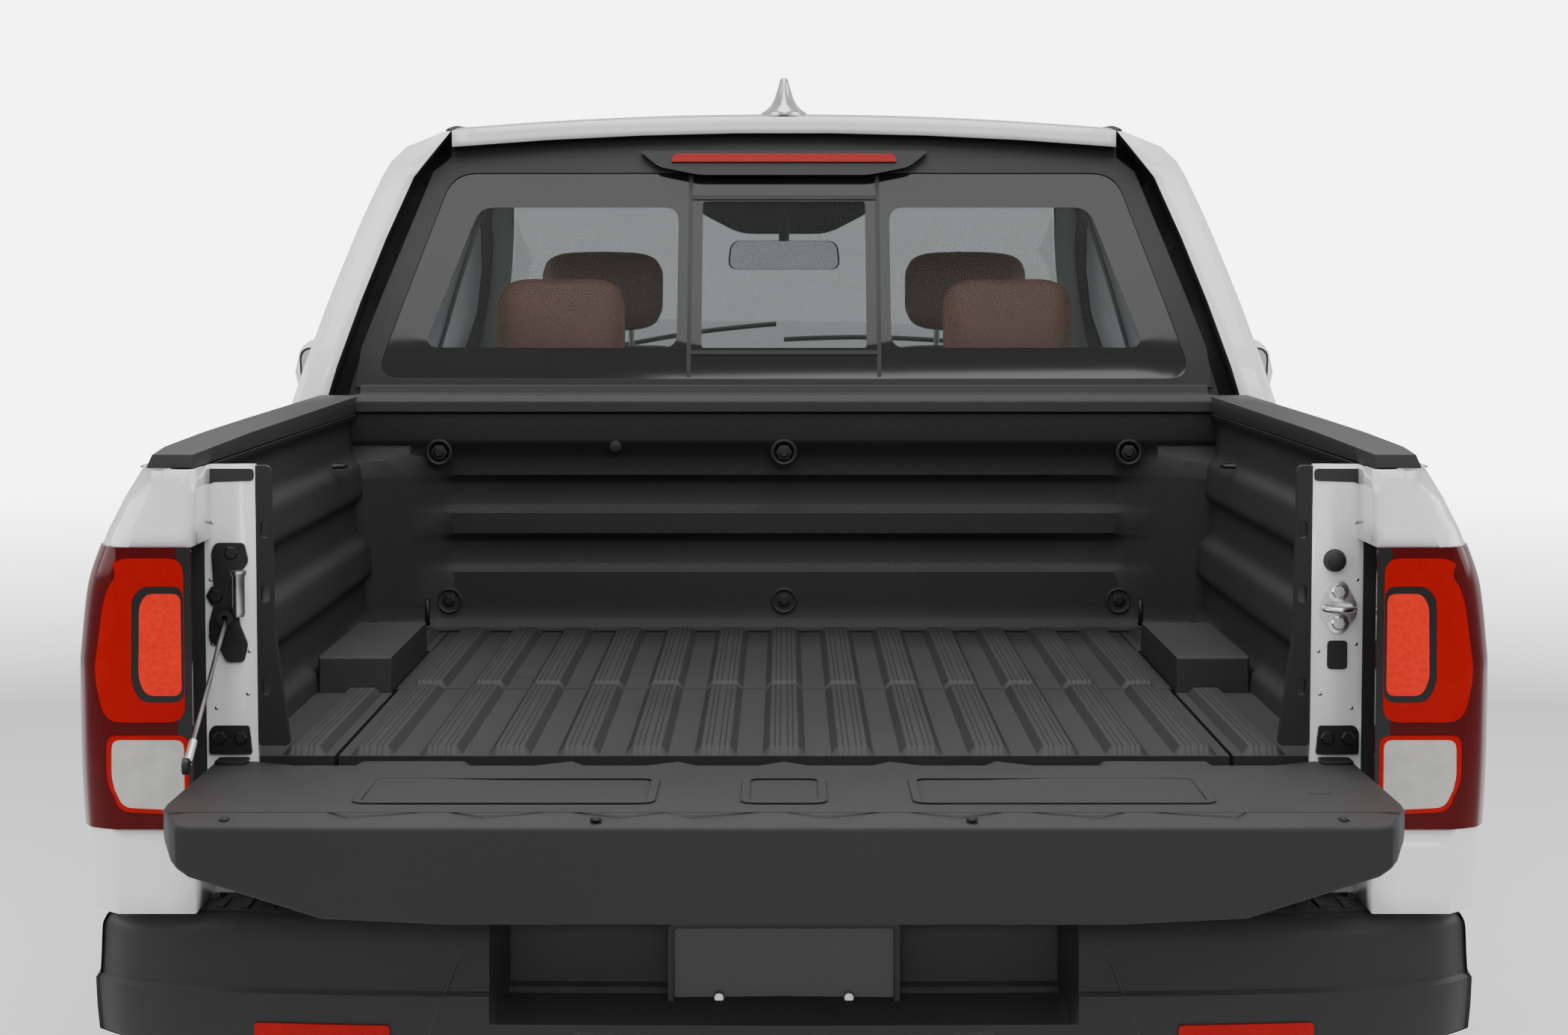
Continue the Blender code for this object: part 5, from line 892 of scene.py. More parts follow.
deep = curve((0.472, 0.0), (0.478, 0.052), (0.55, 0.072), (0.606, 0.072))(z_rows)
way = np.gradient(path, axis=0)
out_way = np.column_stack([way[:, 1], -way[:, 0]]) / np.linalg.norm(way, axis=1)[:, None]
inward = push[None] * np.clip(1.0 - 0.5 * (path[:, 1:2] > 0.3), 0, 1) + deep[None] * inside_well[:, None]
skin = np.stack([path[:, :1] - out_way[:, :1] * inward, path[:, 1:] - out_way[:, 1:] * inward,
                 np.broadcast_to(z_rows, inward.shape)], axis=2)
skin[:, :, 0] = np.maximum(skin[:, :, 0], 0)
lid_row = skin[:, -1:] * (1, 1, 1)
lid_row[:, 0, 1] = np.where(path[:, 0] > 0.86, np.maximum(path[:, 1], 0.20), 0.20)
lid_row[:, 0, 0] = np.minimum(path[:, 0], 0.90)
foot_row = lid_row * (1, 1, 0) + (0, 0, 0.335)
half_cover = np.concatenate([skin, lid_row, foot_row], axis=1)
cover = np.concatenate([half_cover[::-1] * (-1, 1, 1), half_cover[1:]])
loft("bumper_cover", cover, black_trim, smooth=32, stands_for=["rear_bumper"])


def on_bumper_top(side):
    """Lays a pattern of (half-width, station) on the bumper's top; lift is upward."""
    return lambda a, b, lift: (side * a, b, BUMPER_TOP + lift)


def on_bumper_face(side, z0):
    """Lays a pattern of (half-width, height) on the bumper's rear face; lift is rearward."""
    return lambda a, b, lift: (side * a, TAIL_PLAN(np.abs(a)) + np.interp(b, z_rows, push) - lift, b)


# The reflectors' red emission is painted light: a reflector has no lamp, so this glow stands in for the light it sends
# back.
reflector_red_painted_glow = lens("reflector_red_painted_glow", (0.26, 0.0, 0.001), (0.34, 0.002, 0.003), (0.9, 0.0, 0.0), 0.04,
                     grain=300.0, relief="Pebble", bump=0.8)
for side, label in ((-1, "left"), (1, "right")):
    pad_shape = rounded([(0.60, 0.075), (0.80, 0.100), (0.865, 0.135), (0.875, 0.185), (0.60, 0.185)], 0.012)
    plate(f"step_pad_{label}", pad_shape, on_bumper_top(side), 0.003, rail_cap, step=0.05)
    for k in range(7):
        rib = rounded([(0.63 + 0.034 * k, 0.105), (0.642 + 0.034 * k, 0.105), (0.642 + 0.034 * k, 0.175),
                       (0.63 + 0.034 * k, 0.175)], 0.004)
        plate(f"step_rib_{label}_{k}", rib, on_bumper_top(side), 0.0065, rail_cap, step=0.05, bevel=0.001)
    reflector = rounded([(0.53, 0.443), (0.715, 0.443), (0.715, 0.468), (0.53, 0.468)], 0.006)
    plate(f"reflector_{label}", reflector, on_bumper_face(side, 0), 0.003, reflector_red_painted_glow, step=0.03,
          bevel=0.0008)
    seam_edge = np.array([(0.395, 0.587), (0.398, 0.587), (0.356 + 0.10, 0.437),
                          (0.353 + 0.10, 0.437)]) + (0.03, 0)
    plate(f"bumper_seam_{label}", seam_edge, on_bumper_face(side, 0), 0.0006, rubber_and_painted_shadow, step=0.03)
frame_out = rounded([(-0.158, 0.478), (0.158, 0.478), (0.158, 0.600), (-0.158, 0.600)], 0.010)
frame_in = rounded([(-0.149, 0.488), (0.149, 0.488), (0.149, 0.592), (-0.149, 0.592)], 0.007)
in_well = lambda a, b, lift: (a, 0.062 - lift, b)
plate("plate_frame", frame_out, in_well, 0.012, black_trim, holes=[frame_in], bevel=0.002)
blank = made_of("blank_plate", (0.016, 0.016, 0.017), (0.024, 0.024, 0.025), 0.35, 0.05, patch=12.0, bump=0.05)
plate("blank_plate", frame_in, in_well, 0.004, blank)
turned("plate_screws", [(-0.006, 0.0001), (-0.006, 0.006), (-0.003, 0.008), (0.002, 0.008), (0.002, 0.0001)],
       [(x, 0.057, 0.497) for x in (-0.088, 0.088)], "y", zinc_steel, sides=12)
for k, x in enumerate(np.linspace(-0.255, 0.255, 7)):
    tread = rounded([(x - 0.028, 0.440), (x + 0.028, 0.440), (x + 0.028, 0.470), (x - 0.028, 0.470)], 0.006)
    plate(f"well_tread_{k}", tread, lambda a, b, lift: (a, 0.004 + (b - 0.44) * 0.4 - lift, b), 0.005, rail_cap,
          bevel=0.001)

# ---------------------------------------------------------------- rear window and brake lamp
# Privacy glass in three panes behind a black ceramic border: the middle one slides. A black
# surround frames it, and the high brake lamp sits in a shaped housing under the roof's edge.


def rear_screen(x, z):
    """Station of the cab's rear face: a lean that grows with height, bowed forward at the sides."""
    return CAB_REAR + 0.035 + REAR_LEAN(z) + 0.030 * (x / 0.8) ** 2


def on_screen(base=0.0):
    """Lays a pattern of (x, height) on the cab's rear face; lift is rearward."""
    return lambda a, b, lift: (a, rear_screen(a, b) - base - lift, b)


carry("cab_back", black_trim, bevel=0.003)
surround = [(-0.822, 1.254), (0.822, 1.254), (0.812, 1.33), (0.690, 1.672), (0.655, 1.700), (-0.655, 1.700),
            (-0.690, 1.672), (-0.812, 1.33)]
glass_edge = rounded([(-0.782, 1.272), (0.782, 1.272), (0.650, 1.668), (-0.650, 1.668)], 0.045, 6)
panes = [rounded([(-0.690, 1.330), (-0.205, 1.330), (-0.205, 1.600), (-0.595, 1.600)], 0.028, 5),
         rounded([(-0.158, 1.330), (0.158, 1.330), (0.158, 1.612), (-0.158, 1.612)], 0.006),
         rounded([(0.205, 1.330), (0.690, 1.330), (0.595, 1.600), (0.205, 1.600)], 0.028, 5)]
header = [(-0.655, 1.690), (0.655, 1.690)] + [(x,
                                               1.720 + 0.026 * (1 - (x / 0.66) ** 2)) for x in np.linspace(0.655, -0.655, 15)]
plate("rear_header", header, on_screen(0.0015), 0.004, black_trim, step=0.05)
plate("rear_surround", surround, on_screen(0.002), 0.004, black_trim, holes=[glass_edge], step=0.05,
      bevel=0.0015)
plate("rear_glass_border", glass_edge, on_screen(), 0.0035, gloss_black, holes=panes, step=0.05)
for label, pane in zip(("left", "slider", "right"), panes):
    plate(f"rear_glass_{label}", pane, on_screen(-0.001), 0.0040, privacy_glass, step=0.06)
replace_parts(bpy.data.objects["rear_glass_slider"], "rear_window")
for x in (-0.182, 0.182):
    post = rounded([(x - 0.004, 1.276), (x + 0.004, 1.276), (x + 0.004, 1.664), (x - 0.004, 1.664)], 0.001)
    plate(f"slider_channel_{'left' if x < 0 else 'right'}", post, on_screen(0.003), 0.002, rubber_and_painted_shadow,
          step=0.05)
slide_rail = rounded([(-0.180, 1.318), (0.180, 1.318), (0.180, 1.326), (-0.180, 1.326)], 0.001)
plate("slider_rail", slide_rail, on_screen(0.003), 0.003, black_trim, step=0.05)
plate("slider_top_rail", slide_rail + (0, 0.298), on_screen(0.003), 0.003, black_trim, step=0.05)
housing = rounded([(-0.285, 1.712), (0.285, 1.712), (0.245, 1.680), (0.165, 1.664), (-0.165, 1.664),
                   (-0.245, 1.680)], 0.012)
plate("brake_lamp_housing", housing, on_screen(0.004), 0.020, black_trim, step=0.03, bevel=0.004)
plate("brake_lamp", rounded([(-0.222, 1.690), (0.222, 1.690), (0.215, 1.706), (-0.215, 1.706)], 0.005),
      on_screen(0.024), 0.004,
      lens("brake_lamp_lens", (0.16, 0.0, 0.0005), (0.24, 0.0, 0.001), (1.0, 0.0, 0.0), 0.10, grain=160.0,
           relief="Pebble", bump=0.9), step=0.02)

# ---------------------------------------------------------------- cab outside
# Door glass, mirrors, handles, black belt and roof mouldings, sill cladding, the windscreen with
# its wipers, and the roof's antenna fin.

plain_glass = tinted("side_glass", (0.66, 0.69, 0.68))
carry("windscreen", plain_glass, top=lambda x, u: roof_top(x, u) - 0.002, cuts=2)


def on_side(side, surface, base=0.0):
    """Lays a pattern of (station, height) on a body side; lift is outward."""
    return lambda a, b, lift: (side * (surface(a, b) + base + lift), a, b)


def inset_glass(u, z):
    """The door glass follows the cab side 22 mm inboard."""
    return cab_side(u, z) - 0.022


def door_top(u):
    return RAIL_TOP(u) - 0.088


satin_chrome = made_of("satin_chrome", (0.55, 0.56, 0.57), (0.66, 0.67, 0.68), 0.24, 0.05, patch=14.0,
                       Metallic=1.0)
mirror_silver = made_of("mirror_silver", (0.80, 0.81, 0.82), (0.86, 0.87, 0.88), 0.03, 0.01, patch=5.0,
                        bump=0.0, Metallic=1.0)
roof_skin = bpy.data.objects["roof_skin"].data
trim_fin = bmesh.new()
trim_fin.from_mesh(roof_skin)
spots = np.array([v.co for v in trim_fin.verts])
tall = spots[:, 2] > roof_top(spots[:, 0], spots[:, 1] + ROW_SHIFT) + 0.003
bmesh.ops.delete(trim_fin, geom=[v for v, up in zip(trim_fin.verts, tall) if up], context="VERTS")
trim_fin.to_mesh(roof_skin)
trim_fin.free()
fin_u = CAB_REAR + 0.36
fin_z = float(roof_top(0.0, fin_u))
turn = np.linspace(0, 2 * math.pi, 40, endpoint=False)
levels = np.array([-0.006, 0.0, 0.003, 0.008, 0.016, 0.030, 0.045, 0.058, 0.066, 0.070])
length = np.array([0.098, 0.100, 0.098, 0.088, 0.072, 0.052, 0.036, 0.023, 0.013, 0.004])
width = np.array([0.045, 0.046, 0.044, 0.036, 0.027, 0.019, 0.014, 0.010, 0.008, 0.003])
lean = np.array([0.0, 0.0, 0.0, -0.002, -0.010, -0.022, -0.032, -0.042, -0.048, -0.053])
fin = np.stack([width[:, None] * np.cos(turn), fin_u + lean[:, None] + length[:, None] * np.sin(turn),
                fin_z + levels[:, None] + 0 * turn], axis=2)
loft("antenna_fin", fin, alloy, smooth=60)

for side, label in ((-1, "left"), (1, "right")):
    for door in ("front_door", "rear_door"):
        body = f"{door}_{label}"
        carry(f"{door}_glass_{label}", plain_glass if door == "front_door" else privacy_glass, body,
              side=inset_glass, cuts=1)
        if door == "front_door":
            hole = rounded([(3.00, 1.195), (3.76, 1.160)] + [(u, door_top(u) - 0.055) for u in (3.60, 3.45,
                3.30, 3.15, 3.00)], 0.03)
            edge = rounded([(2.942, 1.172), (3.80, 1.138)] + [(u, door_top(u) - 0.030) for u in (3.62, 3.45,
                3.30, 3.15, 2.942)], 0.02)
            hand_u = 3.06
        else:
            hole = rounded([(2.22, 1.245), (2.86, 1.205)] + [(u, door_top(u) - 0.055) for u in (2.86, 2.60,
                2.43)], 0.03)
            edge = rounded([(2.165, 1.222), (2.918, 1.178)] + [(u, door_top(u) - 0.030) for u in (2.918, 2.60,
                2.40)], 0.02)
            hand_u = 2.16
        plate(f"{door}_surround_{label}", edge, on_side(side, cab_side, 0.0005), 0.004, gloss_black, body,
              holes=[hole], step=0.05)
        cup = rounded([(hand_u + 0.03, 0.985), (hand_u + 0.17, 0.985), (hand_u + 0.17, 1.040),
                       (hand_u + 0.03, 1.040)], 0.025)
        plate(f"{door}_handle_cup_{label}", cup, on_side(side, cab_side, 0.0002), 0.0012, rubber_and_painted_shadow, body)
        s = np.linspace(0, 1, 15)
        grip_u = hand_u + 0.01 + 0.19 * s
        grip = np.column_stack([side * (cab_side(grip_u,
                                                 1.013 + 0 * s) - 0.002 + 0.036 * np.clip(np.sin(math.pi * s),
                                                     0, 1) ** 0.35), grip_u, 1.013 + 0 * s])
        tube(f"{door}_handle_{label}", grip, 0.0095, white_paint, body, sides=14, smooth=60)
    s = np.linspace(0, 1, 18)
    shell_x, high = 0.992 + 0.198 * s, 0.085 * np.clip(1 - np.abs(2 * s - 1) ** 3.5, 0.0004, 1) ** 0.5
    ring = np.linspace(0, 2 * math.pi, 28, endpoint=False)[None, :]
    deep = np.where(np.sin(ring) > 0, 0.085, 0.045) * (high / 0.085)[:, None]
    rows = np.stack([side * shell_x[:, None] + 0 * ring,
                     3.690 + deep * np.sign(np.sin(ring)) * np.abs(np.sin(ring)) ** 0.7,
                     1.230 + high[:, None] * np.sign(np.cos(ring)) * np.abs(np.cos(ring)) ** 0.7], axis=2)
    loft(f"mirror_shell_{label}", rows, white_paint, f"front_door_{label}", smooth=60,
         stands_for=[f"mirror_{label}"])
    face = rounded([(1.012, 1.160), (1.168, 1.168), (1.174, 1.290), (1.020, 1.298)], 0.03, 6)
    plate(f"mirror_bezel_{label}", face, lambda a, b, lift, h=side: (h * a, 3.650 - lift, b), 0.008, black_trim,
          f"front_door_{label}", bevel=0.002)
    plate(f"mirror_glass_{label}", face * 0.93 + face.mean(axis=0) * 0.07, lambda a, b, lift,
          h=side: (h * a, 3.6415 - lift, b), 0.0015,
          mirror_silver, f"front_door_{label}")
    arm = np.column_stack([side * np.linspace(0.935, 1.03, 6), np.full(6, 3.705), 1.125 + 0.045 * np.linspace(0,
        1, 6) ** 1.5])
    tube(f"mirror_arm_{label}", arm, 0.021, black_trim, f"front_door_{label}", sides=16, smooth=60)
    us = np.linspace(2.165, 3.96, 60)
    ditch = np.column_stack([side * (SEAM(us) - 0.003), us, RAIL_TOP(us) + 0.0005])
    tube(f"roof_ditch_{label}", ditch, 0.0045, rubber_and_painted_shadow, sides=8, smooth=60)
    sill = rounded([(1.92, 0.334), (3.85, 0.334), (3.85, 0.402), (1.92, 0.402)], 0.01)
    plate(f"sill_cladding_{label}", sill, on_side(side, cab_side, 0.0003), 0.005, black_trim, step=0.08,
          bevel=0.0015)
    sweep = np.linspace(0, 1, 14)
    blade_x = side * 0.30 - 0.30 + side * 0.02 + 0.62 * sweep - 0.02
    blade_u = 3.99 - 0.05 * sweep
    tube(f"wiper_{label}", np.column_stack([blade_x, blade_u + 0.05 * (1 - (blade_x / 0.72) ** 2),
                                            roof_top(blade_x, blade_u + 0.05 * (1 - (blade_x / 0.72) ** 2)) + 0.008]),
         0.006, rubber_and_painted_shadow, smooth=60)
across = np.linspace(-0.70, 0.70, 41)
low_edge = 3.980 + 0.125 * (1 - (across / 0.72) ** 2)
high_edge = roof_top(across, low_edge)
cowl = [(0.0, high_edge - 0.004), (0.002, 1.092 + 0 * across), (-0.010, 1.092 + 0 * across),
        (-0.010, high_edge - 0.014)]
loft("cowl_panel", np.stack([np.column_stack([across, low_edge + shift, high]) for shift, high in cowl],
                            axis=1), black_trim, smooth=30)
fuel = rounded([(1.62, 0.90), (1.80, 0.90), (1.80, 1.06), (1.62, 1.06)], 0.03, 6)
plate("fuel_door_gap", fuel, on_side(-1, bed_side, 0.0001), 0.0006, rubber_and_painted_shadow)
plate("fuel_door", fuel * 0.965 + fuel.mean(axis=0) * 0.035, on_side(-1, bed_side, 0.0003), 0.0014, white_paint,
      smooth=20)

# ---------------------------------------------------------------- front end
# A gloss-black grille with gloss-black bars and a satin-chrome brow between two lamp units, a painted band
# under the hood's edge, and a bumper with a dark lower intake and fog lamps.

nose_half = SIDE_HALF - 0.014


def nose(turn, inset, z):
    """Point of the nose: a superellipse in plan from 0 (middle) to 90 degrees (side), drawn in by inset."""
    a = np.radians(np.abs(turn))
    x = nose_half * np.sin(a) ** 0.55 * (1 - inset / SIDE_HALF)
    return np.stack(np.broadcast_arrays(np.sign(turn) * x, 4.70 + 0.635 * np.clip(np.cos(a), 0,
        1) ** 0.45 - inset, z), axis=-1)


GRILLE_INSET = curve((0.70, 0.035), (0.90, 0.055), (0.97, 0.085))


def round_nose(name, section, start, stop, look, count=60, **finish):
    """A ring of (inset, height) pairs carried round the nose from one turn to another."""
    section = np.array(section, float)
    sweep = np.linspace(start, stop, count)[:, None]
    return loft(name, nose(sweep, section[None, :, 0], section[None, :, 1]), look, **finish)


carry("front_bumper", white_paint, cuts=1, bevel=0.004)
lamp_bowl = made_of("lamp_bowl", (0.05, 0.05, 0.052), (0.12, 0.12, 0.125), 0.18, 0.06, patch=20.0, Metallic=0.8)
lamp_white = lens("lamp_white", (0.80, 0.82, 0.85), (0.90, 0.92, 0.95), (0.9, 0.95, 1.0), 0.35, grain=200.0,
                  relief="Pebble", bump=0.6)
z = np.linspace(0.704, 0.928, 9)
back_in = GRILLE_INSET(z)
round_nose("grille_back", list(zip(back_in + 0.030, z)) + list(zip(back_in[::-1] + 0.060, z[::-1])), -19.5,
           19.5, gloss_black, stands_for=["grille"])
for k, zc in enumerate((0.722, 0.762, 0.802, 0.842)):
    inset = float(GRILLE_INSET(zc))
    round_nose(f"grille_bar_{k}", [(inset + 0.004, zc - 0.007), (inset, zc), (inset + 0.004, zc + 0.007),
                                   (inset + 0.034, zc + 0.009), (inset + 0.034, zc - 0.009)],
               -19.3, 19.3, gloss_black, smooth=50)
round_nose("grille_brow", [(0.046, 0.872), (0.040, 0.880), (0.048, 0.918), (0.060, 0.926), (0.085, 0.926),
                           (0.085, 0.872)], -21, 21, satin_chrome, smooth=50)
round_nose("hood_front_band", [(0.058, 0.930), (0.056, 0.938), (0.064, 0.955), (0.090, 0.966), (0.140, 0.958),
                               (0.140, 0.930)], -26, 26, white_paint, smooth=50)
round_nose("lower_intake", [(0.003, 0.345), (-0.001, 0.36), (-0.006, 0.455), (-0.002, 0.468), (0.05, 0.468),
                            (0.05, 0.345)], -26, 26, black_trim, smooth=50)
for k, zc in enumerate((0.375, 0.405, 0.435)):
    round_nose(f"intake_bar_{k}", [(-0.008, zc - 0.005), (-0.011, zc), (-0.008, zc + 0.005), (0.01, zc + 0.005),
                                   (0.01, zc - 0.005)], -25, 25, gloss_black, smooth=50)
for side, label in ((-1, "left"), (1, "right")):
    def lamp_ring(depth, thick, low=0.706, high=0.926):
        z = np.linspace(low, high, 12)
        inset = GRILLE_INSET(z) + depth
        return list(zip(inset, z)) + list(zip(inset[::-1] + thick, z[::-1]))
    round_nose(f"headlight_bowl_{label}", lamp_ring(0.030, 0.020), side * 20.4, side * 80, lamp_bowl,
               stands_for=[f"headlight_{label}"])
    round_nose(f"headlight_cover_{label}", lamp_ring(0.0, 0.003), side * 20.4, side * 80, clear_glass,
               smooth=50)
    round_nose(f"daytime_strip_{label}", [(0.050, 0.898), (0.046, 0.904), (0.050, 0.912), (0.075, 0.912),
                                          (0.075, 0.898)], side * 22, side * 72, lamp_white, smooth=50)
    for k, t in enumerate((25, 32, 40, 49)):
        x, u, zc = nose(np.array(side * t), 0.050, 0.812)
        turned(f"projector_{label}_{k}", [(-0.010, 0.0001), (-0.010, 0.034), (0.012, 0.034), (0.016, 0.030),
                                          (0.010, 0.027), (0.018, 0.018), (0.022, 0.0001)],
               [(float(x), float(u), float(zc))], "y", lamp_white if k % 2 == 0 else satin_chrome, smooth=50)
    x, u, zc = nose(np.array(side * 45.0), 0.020, 0.400)
    turned(f"fog_lamp_{label}", [(-0.03, 0.0001), (-0.03, 0.045), (0.020, 0.045), (0.023, 0.038),
                                 (0.014, 0.034), (0.020, 0.0001)],
           [(float(x), float(u), float(zc))], "y", lamp_white, smooth=50)

shoulder_turns = np.linspace(24, 79.5, 40)
for side, label in ((-1, "left"), (1, "right")):
    base = nose(side * shoulder_turns, 0.056, 0.93)
    climb = np.linspace(0, 1, 9)[None, :]
    z = 0.930 + np.clip(HOOD_EDGE(base[:, 1:2]) - 0.010 - 0.930, 0.012, None) * climb
    share = fender_side(base[:, 1:2] + 0 * z, z) / fender_side(base[:, 1:2], 0.86)
    outer = np.stack([base[:, :1] * share, base[:, 1:2] - 0.020 * climb ** 2, z], axis=2)
    inner = outer[:, ::-1] * (0.972, 1, 1) - (0, 0.018, 0)
    loft(f"nose_shoulder_{label}", np.concatenate([outer, inner], axis=1), white_paint, smooth=50)

# ---------------------------------------------------------------- wheels
# Forged alloy wheels with ten spokes, brake discs behind them, and road tyres with three
# grooves round the tread and sipes across its shoulders.

tyre_half = TYRE_WIDTH / 2
profile = np.array([(-0.55, RIM_RADIUS), (-0.80, RIM_RADIUS + 0.006), (-0.97, RIM_RADIUS + 0.03),
                    (-1.0, RIM_RADIUS + 0.055), (-1.0, 0.318), (-0.985, 0.335),
                    (-0.95, 0.352), (-0.90, 0.364), (-0.82, 0.3705), (-0.66, 0.3735), (-0.42, 0.3748),
                    (-0.40, 0.3665), (-0.34, 0.3665), (-0.32, 0.3750),
                    (-0.05, 0.3755), (-0.035, 0.3668), (0.035, 0.3668), (0.05, 0.3755), (0.32, 0.3750),
                    (0.34, 0.3665), (0.40, 0.3665), (0.42, 0.3748), (0.66, 0.3735),
                    (0.82, 0.3705), (0.90, 0.364), (0.95, 0.352), (0.985, 0.335), (1.0, 0.318),
                    (1.0, RIM_RADIUS + 0.055), (0.97, RIM_RADIUS + 0.03),
                    (0.80, RIM_RADIUS + 0.006), (0.55, RIM_RADIUS)])
sides = 288
theta = np.linspace(0, 2 * math.pi, sides, endpoint=False)
sipe = (np.arange(sides) % 4 == 0)[:, None] * ((np.abs(profile[:, 0]) > 0.41) & (np.abs(profile[:,
    0]) < 0.96) & (profile[:, 1] > 0.34))[None]
radius = profile[None, :, 1] - 0.006 * sipe
tread = np.stack([np.broadcast_to(profile[None, :, 0] * tyre_half, radius.shape), radius * np.sin(theta)[:,
    None], radius * np.cos(theta)[:, None]], axis=2)
tread = np.concatenate([tread, tread[:1]])


def rim_face(r):
    """How far the wheel's face stands out at a radius: high at the hub ring, dished between, and out at the lip."""
    return curve((0.0, 0.058), (0.05, 0.060), (0.085, 0.050), (0.15, 0.060), (0.205, 0.074), (0.229, 0.098))(r)


def wheel_windows():
    """Ten openings between pairs of spokes: rounded wedges from 75 mm to 200 mm out."""
    out = []
    for k in range(5):
        for spread, inner_r in ((0.36, 0.105), (0.20, 0.085)):
            mid = 2 * math.pi * (k + (0.0 if spread > 0.3 else 0.5)) / 5
            corners = [(r * math.sin(mid + s), r * math.cos(mid + s)) for r, s in
                       ((inner_r, -spread * 0.55), (0.200, -spread * 0.95), (0.204, 0.0),
                        (0.200, spread * 0.95), (inner_r, spread * 0.55))]
            out.append(rounded(corners, 0.014))
    return out


for axle, end in ((REAR_AXLE, "rear"), (FRONT_AXLE, "front")):
    for side, label in ((-1, "left"), (1, "right")):
        body, centre = f"{end}_wheel_{label}", np.array([side * TRACK / 2, axle, TYRE_RADIUS])
        ring = loft(f"{end}_tyre_tread_{label}", tread + centre, tyre_rubber, body, ends=False, smooth=32,
                    stands_for=[f"{end}_tyre_{label}"])
        lay = lambda a, b, lift, h=side, c=centre: (c[0] + h * (rim_face(np.hypot(a, b)) + lift), c[1] + a,
                                                    c[2] + b)
        circle = np.linspace(0, 2 * math.pi, 72, endpoint=False)
        plate(f"{end}_wheel_face_{label}", np.column_stack([0.222 * np.sin(circle), 0.222 * np.cos(circle)]),
              lambda a, b, lift, f=lay: f(a, b, lift - 0.022), 0.022, alloy, body,
              holes=wheel_windows(), step=0.018, smooth=40, stands_for=[f"{end}_rim_{label}"], bevel=0.0015)
        barrel = [(-0.108, 0.2285), (-0.108, 0.216), (0.02, 0.205), (0.085, 0.214), (0.100, 0.222),
                  (0.110, 0.2285)]
        turned(f"{end}_barrel_{label}", np.array(barrel) * (side, 1), [centre], "x", alloy, body, sides=72,
               smooth=50)
        disc = [(-0.006, 0.06), (-0.006, 0.165), (0.006, 0.165), (0.006, 0.06)]
        turned(f"{end}_brake_disc_{label}", disc, [centre + (side * 0.004, 0, 0)], "x", zinc_steel, body,
               sides=64, smooth=30)
        angle = 2 * math.pi * np.arange(5) / 5 + 0.3
        nuts = centre + np.column_stack([0 * angle + side * 0.058, 0.057 * np.sin(angle),
                                         0.057 * np.cos(angle)])
        turned(f"{end}_wheel_nuts_{label}", np.array([(-0.006, 0.0001), (-0.006, 0.010), (0.012, 0.010),
                                                      (0.015, 0.007), (0.015, 0.0001)]) * (side, 1), nuts, "x",
                                                      satin_chrome, body, sides=6, smooth=20)
        cap = np.array([(-0.01, 0.0001), (-0.01, 0.031), (0.008, 0.031), (0.014, 0.026),
                        (0.016, 0.0001)]) * (side, 1)
        turned(f"{end}_wheel_cap_{label}", cap, [centre + (side * 0.058, 0, 0)], "x", gloss_black, body,
               sides=40, smooth=40)
for label in ("left", "right"):
    carry(f"front_knuckle_{label}", chassis_steel, f"front_knuckle_{label}", bevel=0.004)

# ---------------------------------------------------------------- cabin
# Leather seats with padded cushions, a grained dashboard with a screen, a steering wheel in the same
# grained finish, the mirror on the windscreen, and a cloth headliner.

def stuffed(name, profile, half, middle, look, tuck=0.035, clamp=0.012):
    """Padded form: a closed side profile carried across its width and drawn in towards its ends,
    with its cover then moved by a short cloth simulation under pressure. No point goes further
    than the clamp. The large backs reach it nearly everywhere, so there it sets their shape."""
    profile = rounded(profile, 0.05, 6)
    centre = profile.mean(axis=0)
    t = np.sin(np.linspace(-1, 1, 25) * math.pi / 2)
    edge = np.clip(1 - np.abs(t) ** 5, 0, 1) ** 0.5
    size = np.ptp(profile, axis=0).min() / 2
    share = 1 - (tuck / size) * (1 - edge)
    rows = centre + (profile - centre) * share[:, None, None]
    rows = np.concatenate([np.broadcast_to((middle + half * t)[:, None, None], (*rows.shape[:2], 1)), rows],
                          axis=2)
    obj = loft(name, rows, look, None, smooth=180)
    mesh = obj.data
    start = np.empty(len(mesh.vertices) * 3)
    mesh.vertices.foreach_get("co", start)
    cloth = obj.modifiers.new("cover", "CLOTH")
    cloth.settings.use_pressure = True
    cloth.settings.uniform_pressure_force = 3.0
    cloth.settings.effector_weights.gravity = 0.0
    cloth.point_cache.frame_end = 12
    for step in range(1, 13):
        bpy.context.scene.frame_set(step)
    shown = obj.evaluated_get(bpy.context.evaluated_depsgraph_get())
    moved = np.empty_like(start)
    shown.data.vertices.foreach_get("co", moved)
    obj.modifiers.clear()
    travel = (moved - start).reshape(-1, 3)
    far = np.linalg.norm(travel, axis=1)[:, None]
    start = (start.reshape(-1, 3) + travel * np.minimum(1, clamp / np.maximum(far, 1e-6))).ravel()
    bpy.context.scene.frame_set(1)
    mesh.vertices.foreach_set("co", start)
    smooth = obj.modifiers.new("soft", "SUBSURF")
    smooth.levels = smooth.render_levels = 1
    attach(obj, "root")
    return obj


def seam(name, path, look):
    """A sewn seam: a thin cord lying in the cover."""
    return tube(name, path, 0.0022, look, sides=6, smooth=60)


